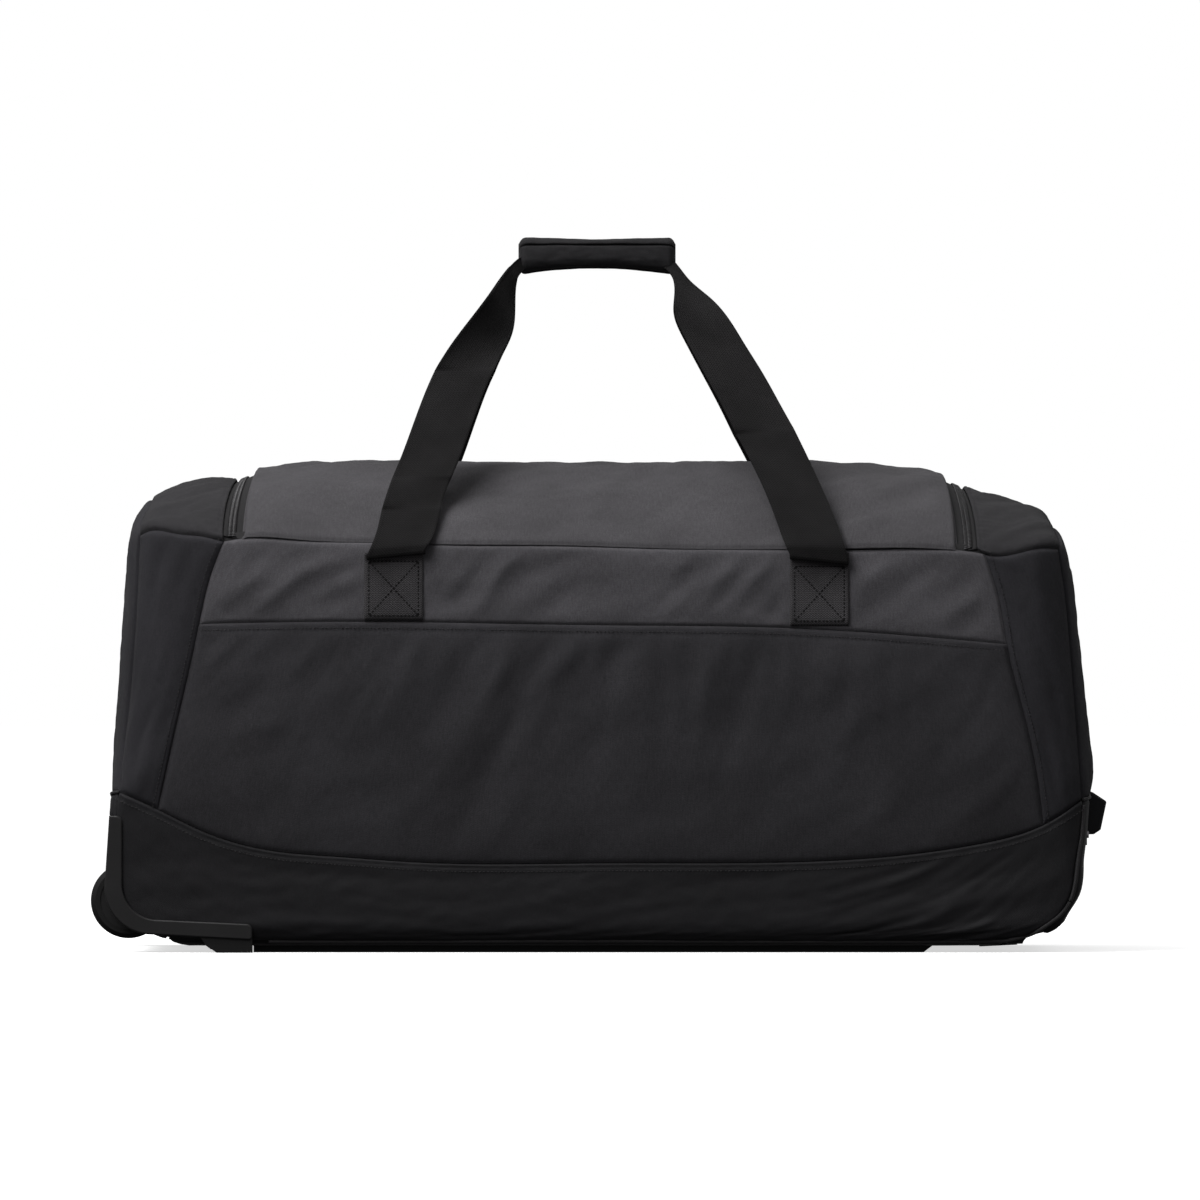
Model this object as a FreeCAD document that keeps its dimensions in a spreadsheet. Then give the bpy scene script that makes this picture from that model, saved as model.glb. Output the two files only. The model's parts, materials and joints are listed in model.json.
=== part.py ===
"""A wheeled duffel bag: soft shell on a hard base, U-shaped zip lid, two carry handles, a two-stage
trolley handle at the right end and a pair of wheels at the left end. Millimetres, +Z up, +X towards
the trolley handle, origin on the ground under the middle of the bag."""
import FreeCAD, Part
import math
import os
import re
import Sketcher
from FreeCAD import Placement, Rotation, Vector

SIZES = {
    # cutting tools: how far they run past the work, and the overlap that keeps neighbours apart
    "spare": 20,
    "sliver": 0.01,
    "slack": 0.4,
    # soft shell
    "half_width": 190,
    "wall": 3,
    "bottom_z": 6,
    "bottom_radius": 22,
    "plan_radius": 48,
    "end_x": 415,
    "end_low_x": 404,
    "end_top_x": 396,
    "end_widest_z": 128,
    "end_radius": 58,
    "shoulder_z": 351,
    "shoulder_x": 356,
    "shoulder_top_z": 388,
    "shoulder_radius": 48,
    "body_top_z": 400,
    "hinge_z": 345,
    "welt_z": 272,
    "boot_z": 100,
    "seam_top_x": 322,
    "seam_low_x": 372,
    "crown_rise": 1,
    "crown_run": 4,
    "piping_radius": 2.2,
    "piping_out": 17.3,
    "piping_up": 4.7,
    "piping_end": 6,
    # lid
    "lid_x": 305,
    "lid_far_y": 110,
    "lid_corner": 70,
    "lid_top_z": 415,
    "lid_wall": 3,
    "lid_gap": 0.5,
    # zip
    "tape_width": 14,
    "tape_thick": 0.8,
    "chain_width": 3,
    "chain_thick": 2.4,
    "chain_start_y": -160,
    "tape_start": 0.9,
    "chain_gap": 0.5,
    "chain_lift": 0.4,
    # zip sliders and pull tabs
    "slider_x": 40,
    "slider_y": 5.5,
    "slider_lift": 0.9,
    "slider_half": 8,
    "slider_waist": 6,
    "slider_nose": 3,
    "slider_lid_side": 4.2,
    "slider_chain_side": 5.5,
    "slider_tail": 4,
    "slider_thick": 2.4,
    "bail_half_x": 5,
    "bail_half_y": 1.6,
    "bail_leg": 2,
    "bail_top": 7.5,
    "bail_bar": 1.5,
    "tab_length": 34,
    "tab_end": 1,
    "tab_half_y": 4,
    "tab_eye_end": 6.6,
    "tab_eye_half_y": 2.2,
    "tab_lift": 3.4,
    "tab_thick": 1.8,
    # boards
    "board_thick": 2.5,
    "floor_z": 120,
    "floor_inset": 17.5,
    "board_inset": 4,
    # carry handles
    "strap_thick": 3,
    "strap_centre_x": 6,
    "strap_foot_x": 177,
    "strap_foot_half": 25,
    "strap_bend_x": 152,
    "strap_bend_run": 140,
    "strap_head_x": 96,
    "strap_head_run": 262,
    "strap_head_shift": 8.5,
    "strap_head_half": 12,
    "strap_neck": 30,
    "strap_neck_out": 4,
    "strap_inner_bend": 46,
    "strap_foot_skew": 10,
    "bar_floor": 1.6,
    "strap_angle": 51.6,
    "strap_pivot_y": 195,
    "strap_pivot_z": 343,
    "strap_run": 303,
    "grip_bar_half": 66,
    "grip_bar_low_z": 578,
    "grip_bar_high_z": 603,
    "grip_bar_y": 5.5,
    "grip_bar_thick": 4,
    "patch_low_z": 276,
    "patch_thick": 2.5,
    "patch_gap": 4,
    "wrap_half_depth": 15,
    "wrap_half_height": 15.6,
    "wrap_corner": 9,
    "wrap_z": 592.6,
    "wrap_half_length": 67,
    "wrap_gap": 0.4,
    # wheels
    "wheel_x": -399,
    "wheel_z": 44,
    "wheel_radius": 32,
    "wheel_width": 24,
    "wheel_y": 164,
    "tyre_thick": 8,
    "tread_round": 5,
    "crown_drop": 4,
    "hub_inset": 1,
    "axle_half": 20,
    "bearing_radius": 11,
    "bearing_width": 7,
    "axle_radius": 4,
    "axle_fit": 0.04,
    # wheel housings
    "guard_x": 419,
    "guard_top_z": 116,
    "guard_leg": 15,
    "guard_rail": 12,
    "guard_rail_end_z": 11,
    "foot_set_back": 2.5,
    "foot_gap": 0.3,
    "foot_toe": 14,
    "foot_toe_run": 8,
    "foot_heel": 5,
    "cheek_low_z": 3,
    "guard_lean": 4,
    "guard_rise": 1,
    "guard_slope": 1.5,
    "guard_droop": 2,
    "guard_stand": 0.2,
    "guard_low_z": 14.5,
    "guard_foot_x": 294,
    "guard_thick": 4,
    "guard_outer_radius": 40,
    "guard_inner_radius": 30,
    "guard_end_radius": 5,
    "guard_foot_round": 3,
    "guard_edge": 1.4,
    "housing_x": 412,
    "housing_inner_x": 350,
    "housing_face_y": 186.6,
    "housing_depth": 46,
    "housing_top_z": 112,
    "wheel_room": 4,
    "arch_reach": 60,
    "foot_length": 44,
    # skids
    "skid_width": 22,
    "skid_end_x": 282,
    "skid_y": 150,
    "skid_slant": 8,
    "skid_gap": 0.6,
    "rivet_radius": 3.5,
    "rivet_head": 1.6,
    "rivet_pitch": 160,
    # trolley
    "tube_y": 62,
    "tube_z": 106,
    "tube_wide": 27,
    "tube_high": 15,
    "tube_wall": 1.2,
    "tube_gap": 0.4,
    "outer_start_x": -330,
    "middle_start_x": -322,
    "inner_start_x": -314,
    "tube_end_x": 398,
    "inner_end_x": 412,
    "block_wide": 44,
    "block_ahead": 8,
    "block_reach": 34,
    "block_lift": 1,
    "floor_gap": 0.5,
    "middle_proud": 2,
    "middle_glide": 5,
    "inner_glide": 6,
    "bezel_half_y": 100,
    "bezel_low_z": 90,
    "bezel_high_z": 140,
    "bezel_x": 399,
    "bezel_depth": 15,
    "bezel_floor": 3,
    "bezel_room": 1.5,
    "tube_lip": 1,
    "window_gap": 0.2,
    "grip_half_y": 88,
    "grip_low_z": 99,
    "grip_high_z": 135,
    "grip_x": 406,
    "grip_depth": 25,
    "grip_wall": 3,
    "grip_face_top_z": 127,
    "grip_lean": 0.21,
    "grip_top_run": 12,
    "grip_edge": 2,
    "grip_toe": 4,
    "grip_chamfer": 5,
    "button_drop": 2,
    "button_root": 12,
    "spring_radius": 4,
    "spring_bore": 3,
    "spring_gap": 0.2,
    "button_half_y": 22,
    "button_high": 14,
    # fasteners
    "screw_head": 3,
    "screw_head_thick": 1.6,
    "screw_inset": 5,
}

BIG = "2 * (end_x + 2 * spare)"
CROSS_TURN = Rotation(Vector(1, 1, 1), 120)
SIDE_TURN = Rotation(Vector(1, 0, 0), 90)
PLAN_TURN = Rotation()
TURNS = {"side": SIDE_TURN, "cross": CROSS_TURN, "plan": PLAN_TURN}
ORIGIN_ROLES = {"side": "XZ_Plane", "cross": "YZ_Plane", "plan": "XY_Plane"}

doc = FreeCAD.newDocument("rolling_duffel")
sheet = doc.addObject("Spreadsheet::Sheet", "Sizes")
for row, (alias, size) in enumerate(SIZES.items(), 1):
    sheet.set("A%d" % row, alias.replace("_", " "))
    sheet.set("B%d" % row, str(size))
    sheet.setAlias("B%d" % row, alias)
doc.recompute()

nodes = []
counter = [0]


def formula(text):
    """The text with each dimension's name pointing at its cell."""
    return re.sub(r"[a-z_]\w+", lambda found: "Sizes." + found[0] if found[0] in SIZES else found[0], text)


def value(text):
    """The number that a formula gives now."""
    result = sheet.evalExpression(formula(text))
    return float(getattr(result, "Value", result))


def bind(thing, prop, text):
    """Tie one property of a document object to the sheet."""
    thing.setExpression(prop, formula(text))


def fresh(kind):
    """A document object with a numbered name of its own."""
    counter[0] += 1
    return doc.addObject(kind, "piece_%03d" % counter[0])


def node(thing, label):
    """Mark a document object as one sub-part of the bag."""
    thing.Label = label
    nodes.append(thing)
    return thing


# ---------------------------------------------------------------- sketches

def arc_between(start, end, radius, side):
    """A counter-clockwise arc through two points, and which of its ends is the first point."""
    chord = end - start
    rise = math.sqrt(max(radius * radius - chord.Length ** 2 / 4, 0))
    across = Vector(-chord.y, chord.x, 0).normalize()
    centre = (start + end) * 0.5 + across * rise * side
    first = math.atan2(start.y - centre.y, start.x - centre.x)
    last = math.atan2(end.y - centre.y, end.x - centre.x)
    circle = Part.Circle(centre, Vector(0, 0, 1), radius)
    if side > 0:
        return Part.ArcOfCircle(circle, first, last), (1, 2)
    return Part.ArcOfCircle(circle, last, first), (2, 1)


def fix(sketch, geometry, end, x_text, y_text, point):
    """Tie one point of a sketch to two formulas."""
    for kind, text, number in (("DistanceX", x_text, point.x), ("DistanceY", y_text, point.y)):
        index = sketch.addConstraint(Sketcher.Constraint(kind, -1, 1, geometry, end, number))
        sketch.setExpression("Constraints[%d]" % index, formula(text))


def draw_circle(sketch, x_text, y_text, radius_text):
    centre = Vector(value(x_text), value(y_text), 0)
    radius = value(radius_text)
    index = sketch.addGeometry(Part.Circle(centre, Vector(0, 0, 1), radius), False)
    size = sketch.addConstraint(Sketcher.Constraint("Radius", index, radius))
    sketch.setExpression("Constraints[%d]" % size, formula(radius_text))
    fix(sketch, index, 3, x_text, y_text, centre)


def draw_loop(sketch, loop):
    """A closed outline. Each corner is (x, y), or (x, y, radius, side) where an arc follows it."""
    points = [Vector(value(corner[0]), value(corner[1]), 0) for corner in loop]
    edges = []
    for index, corner in enumerate(loop):
        start = points[index]
        end = points[(index + 1) % len(loop)]
        if len(corner) == 2:
            edges.append((sketch.addGeometry(Part.LineSegment(start, end), False), (1, 2)))
            continue
        radius = value(corner[2])
        arc, ends = arc_between(start, end, radius, corner[3])
        geometry = sketch.addGeometry(arc, False)
        size = sketch.addConstraint(Sketcher.Constraint("Radius", geometry, radius))
        sketch.setExpression("Constraints[%d]" % size, formula(corner[2]))
        edges.append((geometry, ends))
    for index, corner in enumerate(loop):
        geometry, ends = edges[index]
        following, following_ends = edges[(index + 1) % len(loop)]
        join = Sketcher.Constraint("Coincident", geometry, ends[1], following, following_ends[0])
        sketch.addConstraint(join)
        fix(sketch, geometry, ends[0], corner[0], corner[1], points[index])


def draw(sketch, loops):
    for loop in loops:
        if loop[0] == "circle":
            draw_circle(sketch, *loop[1:])
        else:
            draw_loop(sketch, loop)


def rectangle(x_low, x_high, y_low, y_high):
    return [(x_low, y_low), (x_high, y_low), (x_high, y_high), (x_low, y_high)]


# ---------------------------------------------------------------- solids

def extrude(plane, loops, start, length):
    """A prism on a side (XZ), cross (YZ) or plan (XY) sketch, from start along the plane's axis."""
    sketch = fresh("Sketcher::SketchObject")
    sketch.Placement = Placement(Vector(), TURNS[plane])
    draw(sketch, loops)
    prism = fresh("Part::Extrusion")
    prism.Base = sketch
    prism.DirMode = "Normal"
    prism.Solid = True
    bind(prism, "LengthFwd", "(" + start + ") + (" + length + ")")
    bind(prism, "LengthRev", "-(" + start + ")")
    return prism


def pad(label, plane, loops, start, length):
    """A body with one padded sketch, from start along the plane's axis. side planes run towards -Y."""
    body = node(fresh("PartDesign::Body"), label)
    sketch = body.newObject("Sketcher::SketchObject", label + "_outline")
    plane_object = [item for item in body.Origin.OriginFeatures if item.Role == ORIGIN_ROLES[plane]][0]
    sketch.AttachmentSupport = [(plane_object, "")]
    sketch.MapMode = "FlatFace"
    bind(sketch, "AttachmentOffset.Base.z", start)
    draw(sketch, loops)
    feature = body.newObject("PartDesign::Pad", label + "_pad")
    feature.Profile = sketch
    bind(feature, "Length", length)
    return body


def revolve(label, plane, loop, x_text, y_text, z_text):
    """A body turned about the sketch's vertical axis, placed at a point."""
    body = node(fresh("PartDesign::Body"), label)
    sketch = body.newObject("Sketcher::SketchObject", label + "_section")
    plane_object = [item for item in body.Origin.OriginFeatures if item.Role == ORIGIN_ROLES[plane]][0]
    sketch.AttachmentSupport = [(plane_object, "")]
    sketch.MapMode = "FlatFace"
    draw(sketch, [loop])
    feature = body.newObject("PartDesign::Revolution", label + "_turn")
    feature.Profile = sketch
    feature.ReferenceAxis = (sketch, ["V_Axis"])
    feature.Angle = 360
    for axis, text in zip("xyz", (x_text, y_text, z_text)):
        bind(body, "Placement.Base." + axis, text)
    return body


def box(x_low, x_high, y_low, y_high, z_low, z_high):
    block = fresh("Part::Box")
    for prop, low, high in (("Length", x_low, x_high), ("Width", y_low, y_high), ("Height", z_low, z_high)):
        bind(block, prop, "(" + high + ") - (" + low + ")")
    for axis, low in zip("xyz", (x_low, y_low, z_low)):
        bind(block, "Placement.Base." + axis, low)
    return block


def rod(axis, radius, start, length, across, up):
    """A cylinder along one axis. across and up are its two other coordinates, in X, Y, Z order."""
    cylinder = fresh("Part::Cylinder")
    bind(cylinder, "Radius", radius)
    bind(cylinder, "Height", length)
    turn = {"x": Rotation(Vector(0, 1, 0), 90), "y": Rotation(Vector(1, 0, 0), -90), "z": Rotation()}[axis]
    cylinder.Placement = Placement(Vector(), turn)
    places = {"x": (start, across, up), "y": (across, start, up), "z": (across, up, start)}[axis]
    for name, text in zip("xyz", places):
        bind(cylinder, "Placement.Base." + name, text)
    return cylinder


def cut(base, tool):
    result = fresh("Part::Cut")
    result.Base = base
    result.Tool = tool
    return result


def common(*parts):
    result = fresh("Part::MultiCommon")
    result.Shapes = list(parts)
    return result


def fuse(*parts):
    result = fresh("Part::MultiFuse")
    result.Shapes = list(parts)
    return result


def group(*parts):
    """Several separate solids in one sub-part."""
    result = fresh("Part::Compound")
    result.Links = list(parts)
    return result


def round_edges(base, radius, chosen):
    """Fillet the edges of a recomputed solid that a test picks out."""
    fillet = fresh("Part::Fillet")
    fillet.Base = base
    size = value(radius)
    fillet.Edges = [(index, size, size) for index, edge in enumerate(base.Shape.Edges, 1) if chosen(edge)]
    return fillet


# ---------------------------------------------------------------- soft shell

BODY_R = "((half_width ^ 2 + (body_top_z - hinge_z) ^ 2) / (2 * (body_top_z - hinge_z)))"
BODY_CENTRE = "(body_top_z - " + BODY_R + ")"
LID_R = "((half_width ^ 2 + (lid_top_z - hinge_z) ^ 2) / (2 * (lid_top_z - hinge_z)))"
LID_CENTRE = "(lid_top_z - " + LID_R + ")"


def side_outline(inset):
    """The bag seen from its long side, drawn in by inset."""
    low = "bottom_z + " + inset
    loop = []
    for sign, flip in (("-", 1), ("", -1)):
        half = [
            (sign + "(end_low_x - end_radius)", low),
            (sign + "(end_low_x - " + inset + ")", "bottom_z + end_radius"),
            (sign + "(end_x - " + inset + ")", "end_widest_z"),
            (sign + "(end_top_x - " + inset + ")", "shoulder_z"),
            (sign + "(shoulder_x - " + inset + ")", "shoulder_top_z - " + inset),
            (sign + "(lid_x + crown_run)", "body_top_z + crown_rise - " + inset),
        ]
        loop.append(half if flip > 0 else half[::-1])
    left, right = loop
    arc_low = "end_radius - " + inset
    arc_high = "shoulder_radius - " + inset
    left[0] += (arc_low, -1)
    left[3] += (arc_high, -1)
    right[1] += (arc_high, -1)
    right[4] += (arc_low, -1)
    return left + right


def cross_outline(inset):
    """The bag seen from its end, drawn in by inset."""
    wide = "(half_width - " + inset + ")"
    radius = "(" + BODY_R + " - " + inset + ")"
    side_top = BODY_CENTRE + " + sqrt(" + radius + " ^ 2 - " + wide + " ^ 2)"
    low = "bottom_z + " + inset
    corner = "bottom_radius - " + inset
    return [
        ("-" + wide, "bottom_z + bottom_radius"),
        ("-" + wide, side_top, radius, -1),
        (wide, side_top),
        (wide, "bottom_z + bottom_radius", corner, -1),
        ("half_width - bottom_radius", low),
        ("-(half_width - bottom_radius)", low, corner, -1),
    ]


def plan_outline(inset):
    """The bag seen from above, drawn in by inset."""
    long = "(end_x - " + inset + ")"
    wide = "(half_width - " + inset + ")"
    far = "(end_x - plan_radius)"
    side = "(half_width - plan_radius)"
    corner = "plan_radius - " + inset
    return [
        ("-" + far, "-" + wide), (far, "-" + wide, corner, 1),
        (long, "-" + side), (long, side, corner, 1),
        (far, wide), ("-" + far, wide, corner, 1),
        ("-" + long, side), ("-" + long, "-" + side, corner, 1),
    ]


def bag_solid(inset):
    side = extrude("side", [side_outline(inset)], "-(half_width + spare)", "2 * (half_width + spare)")
    cross = extrude("cross", [cross_outline(inset)], "-(end_x + 2 * spare)", BIG)
    plan = extrude("plan", [plan_outline(inset)], "0", "body_top_z + 2 * spare")
    return common(side, cross, plan)


def lid_plan(offset):
    """The lid's outline from above, grown by offset: straight along the hinge, two round far corners."""
    right = "(lid_x + " + offset + ")"
    far = "(lid_far_y + " + offset + ")"
    corner = "(lid_corner + " + offset + ")"
    return [
        ("-" + right, "-(half_width + spare)"), (right, "-(half_width + spare)"),
        (right, "lid_far_y - lid_corner", corner, 1), ("lid_x - lid_corner", far),
        ("-(lid_x - lid_corner)", far, corner, 1), ("-" + right, "lid_far_y - lid_corner"),
    ]


def lid_prism(offset, low="hinge_z - 2 * spare"):
    return extrude("plan", [lid_plan(offset)], low, "6 * spare")


def arch(radius, centre):
    """A solid bar of a given top curve, over the whole length."""
    return rod("x", radius, "-(end_x + 2 * spare)", BIG, "0", centre)


def open_shell():
    """The open-topped hollow shell that the panels are cut from."""
    hollow = cut(bag_solid("0"), bag_solid("wall"))
    open_top = cut(hollow, lid_prism("lid_gap", "hinge_z - lid_gap"))
    window = box("bezel_x - spare", "end_x + spare", "-(bezel_half_y + window_gap)",
                 "bezel_half_y + window_gap", "bezel_low_z - window_gap", "bezel_high_z + window_gap")
    return cut(cut(open_top, housing_room()), window)


def near_far(z_low, z_high, outline):
    """Cutters for the near and far long sides, from an outline in the side view."""
    near = extrude("side", [outline(z_low, z_high)], "half_width - wall - sliver", "wall + spare")
    far = extrude("side", [outline(z_low, z_high)], "-(half_width + spare)", "wall + spare + sliver")
    return near, far


def seam_x(z_text):
    """Where the slanted side seam stands at a height."""
    slope = "(seam_low_x - seam_top_x) / (hinge_z - boot_z)"
    return "(seam_top_x + (hinge_z - (" + z_text + ")) * " + slope + ")"


def between_seams(z_low, z_high):
    return [
        ("-" + seam_x(z_low), z_low), (seam_x(z_low), z_low),
        (seam_x(z_high), z_high), ("-" + seam_x(z_high), z_high),
    ]


def outside_seam(sign):
    def outline(z_low, z_high):
        return [
            (sign + seam_x(z_low), z_low), (sign + "(end_x + spare)", z_low),
            (sign + "(end_x + spare)", z_high), (sign + seam_x(z_high), z_high),
        ]
    return outline


def make_panels():
    shell = open_shell()
    side_top = "hinge_z - lid_gap"
    for name, low, high in (("side_panel", "welt_z", side_top), ("pocket_panel", "boot_z", "welt_z")):
        near, far = near_far(low, high, between_seams)
        node(common(shell, near), "near_" + name)
        node(common(shell, far), "far_" + name)
    for side, sign in (("left", "-"), ("right", "")):
        near, far = near_far("boot_z", side_top, outside_seam(sign))
        node(group(common(shell, near), common(shell, far)), side + "_gussets")
        edge = "half_width - wall - sliver"
        low_x, high_x = ("-(end_x + spare)", "-shoulder_x") if sign else ("shoulder_x", "end_x + spare")
        middle = box(low_x, high_x, "-(" + edge + ")", edge, "boot_z", side_top)
        node(common(shell, middle), side + "_end_panel")
        low_x, high_x = ("-(end_x + spare)", "-lid_x / 2") if sign else ("lid_x / 2", "end_x + spare")
        over = box(low_x, high_x, "-(half_width + spare)", "lid_far_y + lid_gap", side_top,
                   "body_top_z + spare")
        node(common(shell, over), side + "_shoulder_panel")
    strip = box("-(end_x + spare)", "end_x + spare", "lid_far_y + lid_gap", "half_width + spare", side_top,
                "body_top_z + spare")
    node(common(shell, strip), "far_top_panel")
    return shell


def make_boot(shell):
    """The tougher lower part: two sides, and a band that runs under the bag and up both ends."""
    edge = "half_width - wall - sliver"
    low = "bottom_z + bottom_radius"
    near = box("-(end_x + spare)", "end_x + spare", "-(half_width + spare)", "-(" + edge + ")", low,
               "boot_z")
    far = box("-(end_x + spare)", "end_x + spare", edge, "half_width + spare", low, "boot_z")
    node(common(shell, near), "near_boot_side")
    node(common(shell, far), "far_boot_side")
    left = box("-(end_x + spare)", "-lid_x", "-(" + edge + ")", edge, low, "boot_z")
    right = box("lid_x", "end_x + spare", "-(" + edge + ")", edge, low, "boot_z")
    node(common(shell, left), "left_boot_end")
    node(common(shell, right), "right_boot_end")
    under = box("-(end_x + spare)", "end_x + spare", "-(half_width + spare)", "half_width + spare", "0", low)
    node(common(shell, under), "boot_bottom")


def make_piping():
    ropes = []
    for sign in ("-", ""):
        ropes.append(rod("x", "piping_radius", "-(guard_foot_x - piping_end)",
                         "guard_foot_x + end_low_x - end_radius - piping_end",
                         sign + "(half_width - bottom_radius + piping_out)", "bottom_z + piping_up"))
    node(group(*ropes), "boot_piping")


# ---------------------------------------------------------------- lid and zip

def make_lid():
    top = common(lid_prism("0"), arch(LID_R, LID_CENTRE))
    under = common(lid_prism("spare"), arch("(" + LID_R + " - lid_wall)", LID_CENTRE))
    sheet_part = cut(top, under)
    ring = cut(cut(top, lid_prism("-lid_wall")), arch("(" + BODY_R + " + lid_gap)", BODY_CENTRE))
    hinge_clear = box("-(lid_x + 2 * spare)", "lid_x + 2 * spare", "-(half_width + 2 * spare)", "half_width",
                      "hinge_z - 3 * spare", "hinge_z + sliver")
    node(cut(fuse(sheet_part, ring), hinge_clear), "lid_panel")


def band(inner, outer, low, thick):
    """A flat band round the lid's outline, lying on the body's curve."""
    ring = cut(lid_prism(outer), lid_prism(inner))
    layer = cut(arch("(" + BODY_R + " + " + low + " + " + thick + ")", BODY_CENTRE),
                arch("(" + BODY_R + " + " + low + ")", BODY_CENTRE))
    ahead = box("-(lid_x + spare)", "lid_x + spare", "chain_start_y", "half_width", "hinge_z", "lid_top_z")
    return common(ring, layer, ahead)


def make_zip():
    node(band("tape_start", "tape_width", "0", "tape_thick"), "zip_tape_body")
    outer_chain = band("chain_width + chain_gap", "2 * chain_width + chain_gap", "tape_thick", "chain_thick")
    node(outer_chain, "zip_chain_body")
    node(band("0", "chain_width", "tape_thick + chain_lift", "chain_thick"), "zip_chain_lid")


SLIDER_ANGLE = "asin((lid_far_y + slider_y) / " + BODY_R + ")"


def on_slope(thing, x_text):
    """Stand a small piece on the far zip, leaning with the body's curve."""
    reach = "(" + BODY_R + " + tape_thick + chain_thick + slider_lift)"
    thing.Placement = Placement(Vector(), Rotation(Vector(1, 0, 0), -value(SLIDER_ANGLE)))
    bind(thing, "Placement.Rotation.Angle", "0deg - 1deg * (" + SLIDER_ANGLE + ") / 1deg")
    bind(thing, "Placement.Base.x", x_text)
    bind(thing, "Placement.Base.y", reach + " * sin(" + SLIDER_ANGLE + ")")
    bind(thing, "Placement.Base.z", BODY_CENTRE + " + " + reach + " * cos(" + SLIDER_ANGLE + ")")


def make_slider(side, sign):
    """One zip slider, its bail and the pull tab that swings on the bail."""
    outline = [("-slider_half", "-slider_nose"), ("slider_waist", "-slider_lid_side"),
               ("slider_half", "-slider_nose"), ("slider_half", "slider_nose"),
               ("slider_waist", "slider_chain_side"), ("-slider_half", "slider_tail")]
    plate = extrude("plan", [outline], "0", "slider_thick")
    top = "bail_top - bail_bar"
    posts = [box(x, x + " + bail_leg", "-bail_half_y", "bail_half_y", "slider_thick - slack", "bail_top")
             for x in ("-bail_half_x", "bail_half_x - bail_leg")]
    beam = box("-bail_half_x", "bail_half_x", "-bail_half_y", "bail_half_y", top, "bail_top")
    slider = fuse(plate, beam, *posts)
    on_slope(slider, sign + "slider_x")
    node(slider, "zip_slider_" + side)
    outline = rectangle("-tab_end", "tab_length", "-tab_half_y", "tab_half_y")
    window = rectangle("tab_end", "tab_eye_end", "-tab_eye_half_y", "tab_eye_half_y")
    if sign:
        outline = rectangle("-tab_length", "tab_end", "-tab_half_y", "tab_half_y")
        window = rectangle("-tab_eye_end", "-tab_end", "-tab_eye_half_y", "tab_eye_half_y")
    tab = extrude("plan", [outline, window], "tab_lift", "tab_thick")
    on_slope(tab, sign + "slider_x")
    node(tab, "pull_tab_" + side)


# ---------------------------------------------------------------- boards

def make_boards():
    inner = "(half_width - bottom_radius)"
    base = rectangle("-(housing_inner_x - board_inset)", "end_low_x - end_radius - board_inset", "-" + inner,
                     inner)
    pad("bottom_board", "plan", [base], "bottom_z + wall + slack", "board_thick")
    pad("divider_floor", "plan", [plan_outline("floor_inset")], "floor_z", "board_thick")


# ---------------------------------------------------------------- carry handles

def strap_outline():
    """One carry handle flat in its own plane: two bent legs that narrow towards the grip bar."""
    half = "strap_foot_half"
    leg = [
        ("strap_foot_x + " + half, "0"),
        ("strap_bend_x + " + half, "strap_bend_run"),
        ("strap_head_x + strap_head_half", "strap_head_run"),
        ("grip_bar_half", "strap_run"),
        ("grip_bar_half - strap_head_half", "strap_run"),
        ("grip_bar_half + strap_neck_out", "strap_run - strap_neck"),
        ("strap_bend_x - strap_inner_bend", "strap_bend_run + strap_inner_bend"),
        ("strap_bend_x - " + half, "strap_bend_run - strap_foot_skew"),
        ("strap_foot_x - " + half, "0"),
    ]
    legs = []
    for sign in ("-", ""):
        shifted = []
        for index, (x, y) in enumerate(leg):
            shift = " - strap_head_shift" if 2 <= index <= 5 else ""
            shifted.append((sign + "(" + x + ")" + shift, y))
        legs.append(shifted)
    return legs


def make_handle(side, sign):
    """The strap lies in a plane that leans over the bag, hinged along the top of its patches."""
    start, lean = ("0", "strap_angle") if sign else ("-strap_thick", "180 - strap_angle")
    strap = extrude("plan", strap_outline(), start, "strap_thick")
    strap.Placement = Placement(Vector(), Rotation(Vector(1, 0, 0), value(lean)))
    bind(strap, "Placement.Rotation.Angle", lean)
    bind(strap, "Placement.Base.x", "strap_centre_x")
    bind(strap, "Placement.Base.y", sign + "strap_pivot_y")
    bind(strap, "Placement.Base.z", "strap_pivot_z")
    bar_low, bar_high = "grip_bar_y", "grip_bar_y + grip_bar_thick"
    if sign:
        bar_low, bar_high = "-(grip_bar_y + grip_bar_thick)", "-grip_bar_y"
    middle = "strap_centre_x - strap_head_shift"
    bar = box(middle + " - grip_bar_half", middle + " + grip_bar_half", bar_low, bar_high,
              "grip_bar_low_z", "grip_bar_high_z")
    node(fuse(strap, bar), side + "_handle_strap")
    low_y, high_y = ("-(half_width + patch_thick)", "-half_width") if sign else ("half_width",
                                                                               "half_width + patch_thick")
    patches = []
    for centre in ("strap_centre_x - strap_foot_x", "strap_centre_x + strap_foot_x"):
        patches.append(box(centre + " - strap_foot_half", centre + " + strap_foot_half", low_y, high_y,
                           "patch_low_z", "strap_pivot_z - patch_gap"))
    node(group(*patches), side + "_strap_patches")


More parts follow.
